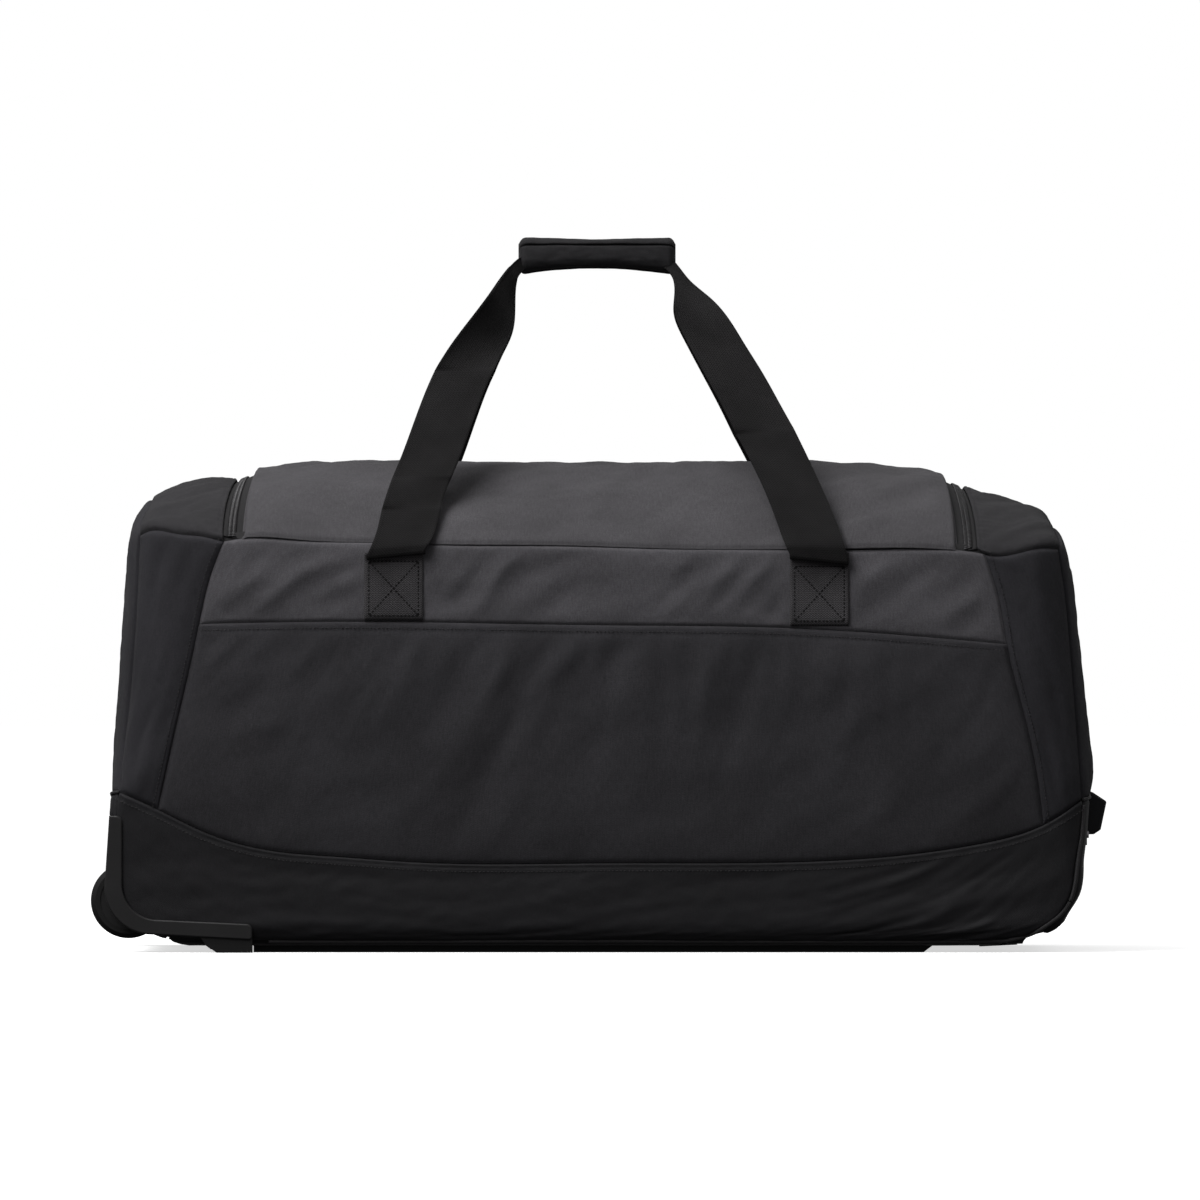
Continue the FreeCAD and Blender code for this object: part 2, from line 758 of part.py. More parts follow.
def wrap_half(label, sign):
    """Half of the padded grip: a shell round one handle's bar, open towards the other handle."""
    wide = "(wrap_half_depth - wrap_corner)"
    high = "(wrap_half_height - wrap_corner)"
    outline = [
        ("-" + wide, "wrap_z - wrap_half_height"),
        (wide, "wrap_z - wrap_half_height", "wrap_corner", 1),
        ("wrap_half_depth", "wrap_z - " + high), ("wrap_half_depth", "wrap_z + " + high, "wrap_corner", 1),
        (wide, "wrap_z + wrap_half_height"),
        ("-" + wide, "wrap_z + wrap_half_height", "wrap_corner", 1),
        ("-wrap_half_depth", "wrap_z + " + high),
        ("-wrap_half_depth", "wrap_z - " + high, "wrap_corner", 1),
    ]
    face = "(grip_bar_y + grip_bar_thick)"
    core = rectangle("-" + face, face, "grip_bar_low_z + bar_floor", "grip_bar_high_z")
    middle = "strap_centre_x - strap_head_shift"
    shell = extrude("cross", [outline, core], middle + " - wrap_half_length", "2 * wrap_half_length")
    low, high = ("-2 * spare", "-wrap_gap / 2") if sign else ("wrap_gap / 2", "2 * spare")
    half = box("-end_x", "end_x", low, high, "wrap_z - 2 * spare", "wrap_z + 2 * spare")
    node(common(shell, half), label)


# ---------------------------------------------------------------- wheels and housings

def guard_loop():
    """The L-shaped corner guard in side view: rounded ends, and a broad round corner."""
    inner_x = "-(guard_x - guard_leg)"
    inner_z = "(guard_low_z + guard_rail)"
    end = "guard_end_radius"
    return [
        ("-(guard_x - guard_lean)", "guard_top_z"),
        (inner_x + " - " + end, "guard_top_z", end, -1), (inner_x, "guard_top_z - " + end),
        (inner_x, inner_z + " + guard_inner_radius", "guard_inner_radius", 1),
        (inner_x + " + guard_inner_radius", inner_z + " + guard_slope"),
        ("-(guard_foot_x + " + end + ")", inner_z + " - guard_droop", end, -1),
        ("-guard_foot_x", inner_z + " - guard_droop - " + end),
        ("-guard_foot_x", "guard_rail_end_z + guard_foot_round", "guard_foot_round", -1),
        ("-(guard_foot_x + guard_foot_round)", "guard_rail_end_z"),
        ("-(guard_x - guard_outer_radius)", "guard_low_z + guard_rise", "guard_outer_radius", -1),
        ("-guard_x", "guard_low_z + guard_rise + guard_outer_radius"),
    ]


def housing_loop():
    """The housing's side view: the bag's lower left corner, inside the guard's outline."""
    return [
        ("-housing_x", "housing_top_z"), ("-housing_inner_x", "housing_top_z"),
        ("-housing_inner_x", "guard_low_z + guard_rise"),
        ("-(housing_x - guard_outer_radius)", "guard_low_z + guard_rise", "guard_outer_radius", -1),
        ("-housing_x", "guard_low_z + guard_rise + guard_outer_radius"),
    ]


def housing_room():
    """The space inside the soft boot that both housings take up, open to the left end."""
    outline = [rectangle("-(end_x + spare)", "-(housing_inner_x - window_gap)", "0",
                          "housing_top_z + window_gap")]
    depth = "(housing_face_y - housing_depth - window_gap)"
    width = "(half_width - wall) - " + depth
    near = extrude("side", outline, depth, width)
    far = extrude("side", outline, "-(half_width - wall)", width)
    return fuse(near, far)


def make_housing(side, near):
    """Housing block with its wheel arch and axle hole."""
    start = "housing_face_y - housing_depth" if near else "-housing_face_y"
    block = extrude("side", [housing_loop()], start, "housing_depth")
    middle = "-wheel_y" if near else "wheel_y"
    room = "wheel_width / 2 + wheel_room"
    start_y = middle + " - (" + room + ")"
    arch_round = rod("y", "wheel_radius + wheel_room", start_y, "2 * (" + room + ")", "wheel_x", "wheel_z")
    mouth = box("wheel_x - arch_reach", "wheel_x", start_y, middle + " + " + room, "wheel_z - wheel_radius",
                "wheel_z + wheel_radius + wheel_room")
    below = box("wheel_x - arch_reach", "wheel_x + wheel_radius + wheel_room", start_y,
                middle + " + " + room, "-spare", "wheel_z")
    bore = rod("y", "axle_radius", middle + " - axle_half", "2 * axle_half", "wheel_x", "wheel_z")
    body = block
    for tool in (arch_round, mouth, below, bore):
        body = cut(body, tool)
    node(body, side + "_wheel_housing")


def make_guard(side, near):
    """Corner guard outside the fabric, with the foot that the bag's left end stands on."""
    face = "half_width + guard_stand"
    outside = "(" + face + " + guard_thick)"
    plate = extrude("side", [guard_loop()], face if near else "-" + outside, "guard_thick")
    doc.recompute()
    rounded = round_edges(plate, "guard_edge", lambda edge: all(
        abs(vertex.Point.y) > value(outside + " - sliver") for vertex in edge.Vertexes))
    foot_end, foot_start = "-guard_foot_x", "-(guard_foot_x + foot_length)"
    set_back = "(" + outside + " - foot_set_back)"
    low_top, high_top = "bottom_z - foot_gap", "guard_low_z - guard_rise"
    toe = foot_start + " + foot_toe"
    low = [(foot_end, low_top), (foot_end, "0"), (toe, "0"), (toe + " - foot_toe_run", low_top)]
    high = [(foot_end, high_top), (foot_end, "cheek_low_z"), (toe + " - foot_heel", "cheek_low_z"),
            (foot_start + " + foot_heel", "2 * cheek_low_z"), (foot_start, high_top)]
    depth = "skid_width - foot_set_back"
    tread = extrude("side", [low], set_back + " - (" + depth + ")" if near else "-" + set_back, depth)
    cheek = extrude("side", [high], face if near else "-" + set_back, "guard_thick - foot_set_back")
    node(fuse(rounded, tread, cheek), side + "_corner_guard")


def make_wheel(side, sign):
    """Tyre, hub and two bearings, turned about the axle."""
    half = "wheel_width / 2"
    rim = "wheel_radius - tyre_thick"
    crown = "wheel_radius - crown_drop"
    place = ("wheel_x", sign + "wheel_y", "wheel_z")
    tyre = [(rim, "-" + half), (crown, "-" + half), ("wheel_radius", "-(" + half + " - tread_round)"),
            ("wheel_radius", half + " - tread_round"), (crown, half), (rim, half)]
    bore = "bearing_radius"
    flank = half + " - hub_inset"
    hub = [(bore, "-(" + flank + ")"), (rim, "-(" + flank + ")"), (rim, flank), (bore, flank)]
    tyre_body = revolve(side + "_tyre", "plan", tyre, *place)
    hub_body = revolve(side + "_wheel_hub", "plan", hub, *place)
    rings = []
    for low in ("-(" + half + " - hub_inset)", half + " - hub_inset - bearing_width"):
        outer = rod("y", "bearing_radius", sign + "wheel_y + " + low, "bearing_width", "wheel_x", "wheel_z")
        inner = rod("y", "axle_radius + axle_fit", sign + "wheel_y + " + low, "bearing_width", "wheel_x",
                    "wheel_z")
        rings.append(cut(outer, inner))
    node(group(*rings), side + "_bearings")
    return tyre_body, hub_body


def make_axles():
    axles = []
    for sign in ("-", ""):
        middle = sign + "wheel_y"
        pin = rod("y", "axle_radius", middle + " - axle_half", "2 * axle_half", "wheel_x", "wheel_z")
        axles.append(pin)
    node(group(*axles), "wheel_axles")


def make_skids():
    rails = []
    for sign in ("-", ""):
        outline = [("-(guard_foot_x - skid_gap)", "bottom_z"), ("-(guard_foot_x - skid_gap)", "0"),
                   ("skid_end_x - skid_slant", "0"), ("skid_end_x", "bottom_z")]
        start = sign + "skid_y - skid_width / 2"
        rails.append(extrude("side", [outline], start, "skid_width"))
    node(group(*rails), "skid_rails")


def make_rivets():
    """Rivets up through the bag's bottom that hold the skids to the board."""
    pins = []
    for sign in ("-", ""):
        for step in ("-1.5", "-0.5", "0.5", "1.5"):
            pins.append(rod("z", "rivet_radius", "bottom_z + wall + board_thick + slack", "rivet_head",
                            step + " * rivet_pitch", sign + "skid_y"))
    node(group(*pins), "skid_rivets")


# ---------------------------------------------------------------- trolley

def tube_section(wide, high, centre):
    return rectangle(centre + " - (" + wide + ") / 2", centre + " + (" + wide + ") / 2",
                     "tube_z - (" + high + ") / 2", "tube_z + (" + high + ") / 2")


def tube_pair(label, step, start, end):
    """Two rectangular tubes, each step smaller all round than the stage outside it."""
    shrink = str(step) + " * 2 * (tube_wall + tube_gap)"
    loops = []
    for sign in ("-", ""):
        for inner in ("0", "2 * tube_wall"):
            loops.append(tube_section("tube_wide - " + shrink + " - " + inner,
                                      "tube_high - " + shrink + " - " + inner, sign + "tube_y"))
    tubes = extrude("cross", loops, start, "(" + end + ") - (" + start + ")")
    return node(tubes, label)


def make_trolley():
    tube_pair("outer_tubes", 0, "outer_start_x", "tube_end_x")
    tube_pair("middle_tubes", 1, "middle_start_x", "tube_end_x + middle_proud")
    tube_pair("inner_tubes", 2, "inner_start_x", "inner_end_x")
    blocks = []
    for sign in ("-", ""):
        around = box("outer_start_x - block_ahead", "outer_start_x + block_reach",
                     sign + "tube_y - block_wide / 2", sign + "tube_y + block_wide / 2",
                     "bottom_z + wall + board_thick + block_lift", "floor_z - floor_gap")
        hole = box("outer_start_x", "outer_start_x + 3 * spare", sign + "tube_y - tube_wide / 2",
                   sign + "tube_y + tube_wide / 2", "tube_z - tube_high / 2", "tube_z + tube_high / 2")
        blocks.append(cut(around, hole))
    node(group(*blocks), "tube_brackets")
    make_tube_plugs()
    make_bezel()
    make_grip()


def make_tube_plugs():
    """Glides on the hidden ends of the middle and inner tubes."""
    for label, step, start, length in (
            ("middle_tube_glides", 1, "middle_start_x", "middle_glide"),
            ("inner_tube_glides", 2, "inner_start_x", "inner_glide")):
        shrink = str(step) + " * 2 * (tube_wall + tube_gap)"
        glides = []
        for sign in ("-", ""):
            loop = tube_section("tube_wide - " + shrink, "tube_high - " + shrink, sign + "tube_y")
            glides.append(extrude("cross", [loop], start + " - " + length, length))
        node(group(*glides), label)


def make_bezel():
    """The moulded frame in the end wall that the tubes slide through."""
    frame = box("bezel_x", "bezel_x + bezel_depth", "-bezel_half_y", "bezel_half_y", "bezel_low_z",
                "bezel_high_z")
    recess = box("bezel_x + bezel_floor", "bezel_x + 2 * spare", "-(grip_half_y + bezel_room)",
                 "grip_half_y + bezel_room", "grip_low_z - bezel_room", "grip_high_z + bezel_room")
    body = cut(frame, recess)
    for sign in ("-", ""):
        hole = box("bezel_x - spare", "bezel_x + 2 * spare", sign + "tube_y - tube_wide / 2 + tube_lip",
                   sign + "tube_y + tube_wide / 2 - tube_lip", "tube_z - tube_high / 2 + tube_lip",
                   "tube_z + tube_high / 2 - tube_lip")
        body = cut(body, hole)
    node(body, "trolley_bezel")


def grip_face_x(z_text):
    """The grip's outer face leans out towards its top."""
    return "(grip_x + grip_depth - (grip_face_top_z - (" + z_text + ")) * grip_lean)"


def grip_loop(inset):
    """The grip's section, drawn in by inset."""
    low = "grip_low_z + " + inset
    top = "grip_face_top_z - " + inset
    return [
        ("grip_x + " + inset, low), (grip_face_x("grip_low_z") + " - grip_chamfer - " + inset, low),
        (grip_face_x("grip_low_z + grip_toe") + " - " + inset, "grip_low_z + grip_toe + " + inset),
        (grip_face_x("grip_face_top_z") + " - " + inset, top),
        ("grip_x + grip_depth - grip_top_run - " + inset, "grip_high_z - " + inset),
        ("grip_x + " + inset, "grip_high_z - " + inset),
    ]


def make_grip():
    """Grip in two shells, with a push button let into its outer face."""
    solid = extrude("side", [grip_loop("0")], "-grip_half_y", "2 * grip_half_y")
    doc.recompute()
    edges = round_edges(solid, "grip_edge", lambda edge: max(
        vertex.Point.x for vertex in edge.Vertexes) > value("grip_x + sliver"))
    hollow = extrude("side", [grip_loop("grip_wall")], "-(grip_half_y - grip_wall)",
                     "2 * (grip_half_y - grip_wall)")
    shell = cut(edges, hollow)
    half_wide = "(tube_wide / 2 - 2 * (tube_wall + tube_gap))"
    half_high = "(tube_high / 2 - 2 * (tube_wall + tube_gap))"
    for sign in ("-", ""):
        hole = box("grip_x - spare", "grip_x + 2 * grip_wall", sign + "tube_y - " + half_wide,
                   sign + "tube_y + " + half_wide, "tube_z - " + half_high, "tube_z + " + half_high)
        shell = cut(shell, hole)
    middle = "(grip_low_z + grip_high_z) / 2 - button_drop"
    low, high = middle + " - button_high / 2", middle + " + button_high / 2"
    window = box("grip_x + button_root", "grip_x + grip_depth + spare", "-(button_half_y + slack)",
                 "button_half_y + slack", low + " - slack", high + " + slack")
    shell = cut(shell, window)
    for label, z_low, z_high in (("grip_lower_shell", "0", middle),
                                 ("grip_upper_shell", middle, "2 * grip_high_z")):
        half = box("0", "end_x + 3 * spare", "-half_width", "half_width", z_low, z_high)
        node(common(shell, half), label)
    back = "grip_x + button_root"
    outline = [(back, low), (grip_face_x(low), low), (grip_face_x(high), high), (back, high)]
    button = extrude("side", [outline], "-button_half_y", "2 * button_half_y")
    node(button, "grip_button")
    spring_length = back + " - (grip_x + grip_wall) - 2 * spring_gap"
    spring_outer = rod("x", "spring_radius", "grip_x + grip_wall + spring_gap", spring_length, "0", middle)
    spring_inner = rod("x", "spring_bore", "grip_x", "2 * spare", "0", middle)
    node(cut(spring_outer, spring_inner), "button_spring")


# ---------------------------------------------------------------- fasteners

def make_screws():
    """Screw heads in the four corners of the bezel."""
    bezel = []
    for sign in ("-", ""):
        for height in ("grip_low_z", "grip_high_z"):
            bezel.append(rod("x", "screw_head", "bezel_x + bezel_depth", "screw_head_thick",
                             sign + "(bezel_half_y - screw_inset)", height))
    node(group(*bezel), "bezel_screws")


def build():
    shell = make_panels()
    make_boot(shell)
    make_piping()
    make_lid()
    make_zip()
    for side, sign in (("left", "-"), ("right", "")):
        make_slider(side, sign)
    make_boards()
    for side, sign in (("near", "-"), ("far", "")):
        make_handle(side, sign)
        wrap_half("grip_wrap_" + side, sign)
        make_housing(side, bool(sign))
        make_guard(side, bool(sign))
        make_wheel(side, sign)
    make_axles()
    make_skids()
    make_rivets()
    make_trolley()
    make_screws()


def check():
    bad = [thing.Name + " " + thing.Label for thing in doc.Objects
           if "Invalid" in thing.State or "Error" in thing.State]
    for thing in nodes:
        shape = thing.Shape
        if shape.isNull() or not shape.isValid() or not shape.Solids:
            bad.append(thing.Label + " shape")
    if bad:
        raise SystemExit("failed objects: " + ", ".join(bad))


def write():
    os.makedirs("parts", exist_ok=True)
    for thing in nodes:
        thing.Shape.exportStep("parts/" + thing.Label + ".step")
        bounds = thing.Shape.BoundBox
        print("%-22s solids %d  x %.1f..%.1f  y %.1f..%.1f  z %.1f..%.1f" % (
            thing.Label, len(thing.Shape.Solids), bounds.XMin, bounds.XMax, bounds.YMin, bounds.YMax,
            bounds.ZMin, bounds.ZMax))


build()
doc.recompute()
check()
write()
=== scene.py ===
"""Looks of a black wheeled holdall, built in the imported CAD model's frame.

The soft shell is worked out in millimetres on one rounded body surface.
Seam curves are laid on it, and every panel between them is its own cloth piece.
"""

import json
import math

import bpy
import numpy as np
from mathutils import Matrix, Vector


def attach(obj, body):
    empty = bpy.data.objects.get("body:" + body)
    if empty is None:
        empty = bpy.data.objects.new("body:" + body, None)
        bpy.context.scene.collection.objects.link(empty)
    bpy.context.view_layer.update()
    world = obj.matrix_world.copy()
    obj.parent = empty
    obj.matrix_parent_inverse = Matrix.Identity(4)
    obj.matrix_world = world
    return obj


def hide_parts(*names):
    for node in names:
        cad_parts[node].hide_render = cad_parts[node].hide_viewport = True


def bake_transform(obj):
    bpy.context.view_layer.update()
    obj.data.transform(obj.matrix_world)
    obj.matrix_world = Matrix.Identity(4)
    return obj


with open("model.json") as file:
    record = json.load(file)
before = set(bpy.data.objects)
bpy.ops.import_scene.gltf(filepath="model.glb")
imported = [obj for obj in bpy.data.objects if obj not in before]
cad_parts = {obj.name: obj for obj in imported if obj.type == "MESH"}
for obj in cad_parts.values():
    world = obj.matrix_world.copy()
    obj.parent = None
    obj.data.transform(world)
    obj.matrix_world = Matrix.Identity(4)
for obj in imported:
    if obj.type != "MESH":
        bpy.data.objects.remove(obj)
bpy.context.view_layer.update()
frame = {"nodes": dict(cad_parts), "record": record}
MM = 0.001


# ------------------------------------------------------------------ curves

def spline(points):
    """Natural cubic through (t, value...) rows, as a function of t."""
    rows = np.array(points, float)
    x, y = rows[:, 0], rows[:, 1:]
    h = np.diff(x)
    a, b = np.eye(len(x)), np.zeros_like(y)
    for i in range(1, len(x) - 1):
        a[i, i - 1:i + 2] = h[i - 1], 2 * (h[i - 1] + h[i]), h[i]
        b[i] = 6 * ((y[i + 1] - y[i]) / h[i] - (y[i] - y[i - 1]) / h[i - 1])
    m = np.linalg.solve(a, b)

    def at(t):
        t = np.clip(np.asarray(t, float), x[0], x[-1])
        i = np.clip(np.searchsorted(x, t) - 1, 0, len(x) - 2)
        p = ((x[i + 1] - t) / h[i])[..., None]
        q = 1 - p
        bend = ((p ** 3 - p) * m[i] + (q ** 3 - q) * m[i + 1]) * (h[i] ** 2)[..., None] / 6
        out = p * y[i] + q * y[i + 1] + bend
        return out[..., 0] if out.shape[-1] == 1 else out
    return at


def smooth(points, count=160, t=None):
    """Dense smooth polyline through points, spaced by chord length or by a given parameter."""
    points = np.array(points, float)
    t = lengths(points) if t is None else t
    return spline(np.column_stack([t, points]))(np.linspace(0, t[-1], count))


def lengths(poly):
    return np.concatenate([[0], np.cumsum(np.linalg.norm(np.diff(poly, axis=0), axis=1))])


def along(poly, t):
    """Points at fractions t of a polyline's length."""
    s = lengths(poly)
    return np.column_stack([np.interp(np.asarray(t) * s[-1], s, poly[:, k]) for k in range(poly.shape[1])])


def between(poly, low, high, axis=0):
    """The stretch of a polyline from coordinate low to coordinate high on an axis that it runs along."""
    key = poly[:, axis]
    if key[0] > key[-1]:
        poly, key = poly[::-1], key[::-1]
    t = np.interp([min(low, high), max(low, high)], key, lengths(poly) / lengths(poly)[-1])
    out = along(poly, np.linspace(t[0], t[1], 120))
    return out if low <= high else out[::-1]


def mirror(poly):
    return poly * np.array([1, -1, 1])


def on_side(poly, far):
    return mirror(poly) if far else poly


def pinned(line, first, last=None):
    """The line with its ends moved onto two points: the last one mirrors the first unless it is given."""
    line[0], line[-1] = first, mirror(first) if last is None else last
    return line


def unit(v):
    return v / np.maximum(np.linalg.norm(v, axis=-1, keepdims=True), 1e-9)


# ------------------------------------------------------------------ noise

def noise(p, q, seed):
    """Smooth gradient noise from -1 to 1 over a plane, the same on each run."""
    rng = np.random.RandomState(seed)
    table = rng.permutation(256)
    angle = rng.rand(256) * 2 * math.pi
    i, j = np.floor(p).astype(int), np.floor(q).astype(int)
    f, g = p - i, q - j

    def corner(di, dj):
        k = table[(table[(i + di) % 256] + j + dj) % 256]
        return np.cos(angle[k]) * (f - di) + np.sin(angle[k]) * (g - dj)
    u, v = f * f * f * (f * (f * 6 - 15) + 10), g * g * g * (g * (g * 6 - 15) + 10)
    low = corner(0, 0) * (1 - u) + corner(1, 0) * u
    high = corner(0, 1) * (1 - u) + corner(1, 1) * u
    return 1.5 * (low * (1 - v) + high * v)


def folds(p, q, angle, long, short, seed):
    """Soft folds that run along an angle, given in degrees, with their length and width in mm."""
    c, s = math.cos(math.radians(angle)), math.sin(math.radians(angle))
    along_fold, across = p * c + q * s, -p * s + q * c
    across = across + 0.35 * long * noise(p / (1.6 * long), q / (1.6 * long), seed + 7)
    ridge = noise(along_fold / long, across / short, seed)
    return np.sign(ridge) * np.abs(ridge) ** 1.3


# ------------------------------------------------------------------ body surface, mm

HALF_Y = 190
BOTTOM_Z = 6
ARC_R, ARC_Z, CROWN = 355.7, 44.3, 55.7
end_left = spline([(6, 352), (12, 370), (22, 389), (36, 403), (50, 409), (70, 413), (100, 414), (117, 415),
                   (149, 411), (198, 407), (273, 404), (324, 400), (354, 398), (400, 397)])
end_right = spline([(6, 323), (6.8, 343), (11, 361), (19.5, 379), (30.6, 393.6), (48, 404), (76, 408),
                    (97, 410.6), (133, 415), (145, 416.5), (164, 415), (212, 410), (259, 405), (300, 401),
                    (341, 396), (354, 394), (400, 393)])
side_y = spline([(0, 190), (90, 190), (180, 191), (250, 190.5), (300, 188), (350, 185.5), (410, 184)])
round_left = spline([(0, 8), (112, 9), (130, 16), (180, 42), (260, 48), (400, 46)])
round_right = spline([(0, 9), (50, 10), (90, 18), (140, 38), (200, 46), (400, 48)])
ridge_z = spline([(-401, 325), (-398, 351), (-394, 368), (-386, 382), (-374, 389), (-355, 395), (-333, 399),
                  (-309, 400), (-150, 400), (0, 400), (200, 400), (270, 398.5), (307, 395), (323, 389.5),
                  (350, 382), (380, 368), (390, 358), (395, 341), (397, 320)])
edge_z = spline([(-401, 346), (-391, 353), (-383, 357), (-357, 355), (-337, 353), (-318, 349.5), (-298, 352),
                 (-246, 349), (-141, 346), (0, 343.8), (155, 341.7), (293, 341.7), (331, 337), (351, 338.5),
                 (372, 343), (389, 343), (398, 338)])


def crown(y):
    y = np.clip(np.abs(y), 0, HALF_Y)
    return np.clip((ARC_Z + np.sqrt(ARC_R ** 2 - y ** 2) - 345) / (CROWN - 0.7), -0.05, 1)


def soft_max(a, b, width):
    h = np.maximum(width - np.abs(a - b), 0) / width
    return np.maximum(a, b) + h * h * width / 4


def outside(p):
    """Signed distance, nearly, from the plain body surface: positive outside."""
    x, y, z = p[..., 0], p[..., 1], p[..., 2]
    end = np.where(x < 0, end_left(z), end_right(z))
    corner = np.where(x < 0, round_left(z), round_right(z))
    tuck = np.maximum(0, 20 - (z - BOTTOM_Z)) / 20
    depth = side_y(z) - 20 * (1 - np.sqrt(np.clip(1 - tuck ** 2, 0, 1)))
    qx, qy = np.abs(x) - (end - corner), np.abs(y) - (depth - corner)
    wall = np.hypot(np.maximum(qx, 0), np.maximum(qy, 0)) + np.minimum(np.maximum(qx, qy), 0) - corner
    low = edge_z(x)
    roof = 0.8 * (z - low - np.maximum(ridge_z(x) - low, -30) * crown(y))
    return soft_max(soft_max(wall, roof, 7), BOTTOM_Z - z, 3)


def normals(p, field=outside):
    eps = 0.6
    grad = [field(p + eps * np.eye(3)[k]) - field(p - eps * np.eye(3)[k]) for k in range(3)]
    return np.stack(grad, -1) / (2 * eps)


def settle(p, field=outside):
    for _ in range(7):
        g = normals(p, field)
        p = p - np.clip(field(p), -12, 12)[..., None] * g / np.maximum((g * g).sum(-1, keepdims=True), 0.3)
    return p


def cast(x, y, z, axis, start, stop):
    """Slides points along an axis from outside at start towards stop until they meet the surface."""
    points = np.stack(np.broadcast_arrays(x, y, z), -1).astype(float)
    out, inn = np.full(points.shape[:-1], float(start)), np.full(points.shape[:-1], float(stop))
    for _ in range(34):
        middle = (out + inn) / 2
        points[..., axis] = middle
        hit = outside(points) > 0
        out, inn = np.where(hit, middle, out), np.where(hit, inn, middle)
    points[..., axis] = (out + inn) / 2
    return points


def on_front(x, z):
    return cast(x, 0, z, 1, -260, 0)


def on_top(x, y):
    return cast(x, y, 0, 2, 470, 150)


def on_end(y, z, sign):
    """Points on the left end, sign -1, or on the right one."""
    return cast(0, y, z, 0, 460 * sign, 300 * sign)


def front(points, count=160):
    """A seam given by its x and z, laid on the near side."""
    return on_front(*smooth(points, count).T)


LID_R, LID_Z = 292.9, 122.0
lid_ridge = spline([(-320, 399), (-309, 404), (-303, 407), (-297, 409.5), (-284, 411), (-255, 413), (-119, 415),
                    (0, 415), (119, 415), (203, 414), (241, 410.5), (278, 408), (296, 404), (305, 399),
                    (320, 394)])


def lid_height(x, y):
    arc = np.sqrt(np.clip(LID_R ** 2 - y ** 2, 1, None)) + LID_Z
    foot = math.sqrt(LID_R ** 2 - 187 ** 2) + LID_Z
    return edge_z(x) + (lid_ridge(x) - edge_z(x)) * (arc - foot) / (LID_R + LID_Z - foot)


def above_lid(p):
    return 0.85 * (p[..., 2] - lid_height(p[..., 0], p[..., 1]))


# ------------------------------------------------------------------ materials

slot_of = {part["node"]: part["material_slot"] for part in frame["record"]["subparts"]}


class Nodes:
    """Small helper for the node tree of a new material or world."""

    def __init__(self, name, store=bpy.data.materials, shader="Principled BSDF"):
        self.owner = store.new(name)
        self.owner.use_nodes = True
        self.tree = self.owner.node_tree
        self.shader = self.tree.nodes[shader]

    def add(self, kind, settings=(), **inputs):
        made = self.tree.nodes.new("ShaderNode" + kind)
        for key, value in dict(settings).items():
            setattr(made, key, value)
        for key, value in inputs.items():
            socket = made.inputs[int(key[1:])] if key[0] == "i" and key[1:].isdigit() else made.inputs[key]
            if isinstance(value, bpy.types.NodeSocket):
                self.tree.links.new(value, socket)
            else:
                socket.default_value = value
        return made.outputs

    def math(self, operation, a, b):
        return self.add("Math", {"operation": operation}, i0=a, i1=b)[0]

    def times(self, a, b):
        return self.math("MULTIPLY", a, b)

    def sum(self, *terms):
        """Sum of values, each with its weight."""
        out = [self.times(value, weight) for value, weight in terms]
        while len(out) > 1:
            out[:2] = [self.math("ADD", out[0], out[1])]
        return out[0]

    def moved(self, place, by):
        return self.add("VectorMath", {"operation": "ADD"}, i0=place, i1=by)[0]

    def stretched(self, place, *scale):
        return self.add("Mapping", {}, Vector=place, Scale=scale)[0]

    def noise(self, place, scale, detail=3.0, rough=0.55):
        return self.add("TexNoise", {}, Vector=place, Scale=scale, Detail=detail, Roughness=rough)[0]

    def bands(self, place, axis, pitch, warp=0.0):
        """Round ribs across an axis, pitch metres apart."""
        return self.add("TexWave", {"bands_direction": axis}, Vector=place, Scale=2 * math.pi / (20 * pitch),
                        Distortion=warp, Detail=1.0)[1]

    def ramp(self, value, low, high, dark, light):
        return self.add("MapRange", {}, Value=value, i1=low, i2=high, i3=dark, i4=light)[0]

    def vary(self, value, low, high, amount):
        """A factor round 1 that follows a value."""
        return self.ramp(value, low, high, 1 - amount, 1 + amount)

    def finish(self, base, tint, rough, height, bump, distance, rough_spread=0.06, **sockets):
        """Colour is base times tint; roughness follows the same grain; height drives the bump."""
        scaled = self.add("Mix", {"data_type": "RGBA", "blend_type": "MULTIPLY"}, Factor=1.0)
        node = scaled[0].node
        node.inputs[6].default_value = (*base, 1)
        combine = self.add("CombineColor", {}, Red=tint, Green=tint, Blue=tint)[0]
        self.tree.links.new(combine, node.inputs[7])
        self.tree.links.new(node.outputs[2], self.shader.inputs["Base Color"])
        spread = self.ramp(height, 0.0, 1.0, rough + rough_spread, rough - rough_spread)
        self.tree.links.new(spread, self.shader.inputs["Roughness"])
        normal = self.add("Bump", {}, Height=height, Strength=bump, Distance=distance)[0]
        self.tree.links.new(normal, self.shader.inputs["Normal"])
        for key, value in sockets.items():
            self.shader.inputs[key.replace("_", " ")].default_value = value
        return self.owner


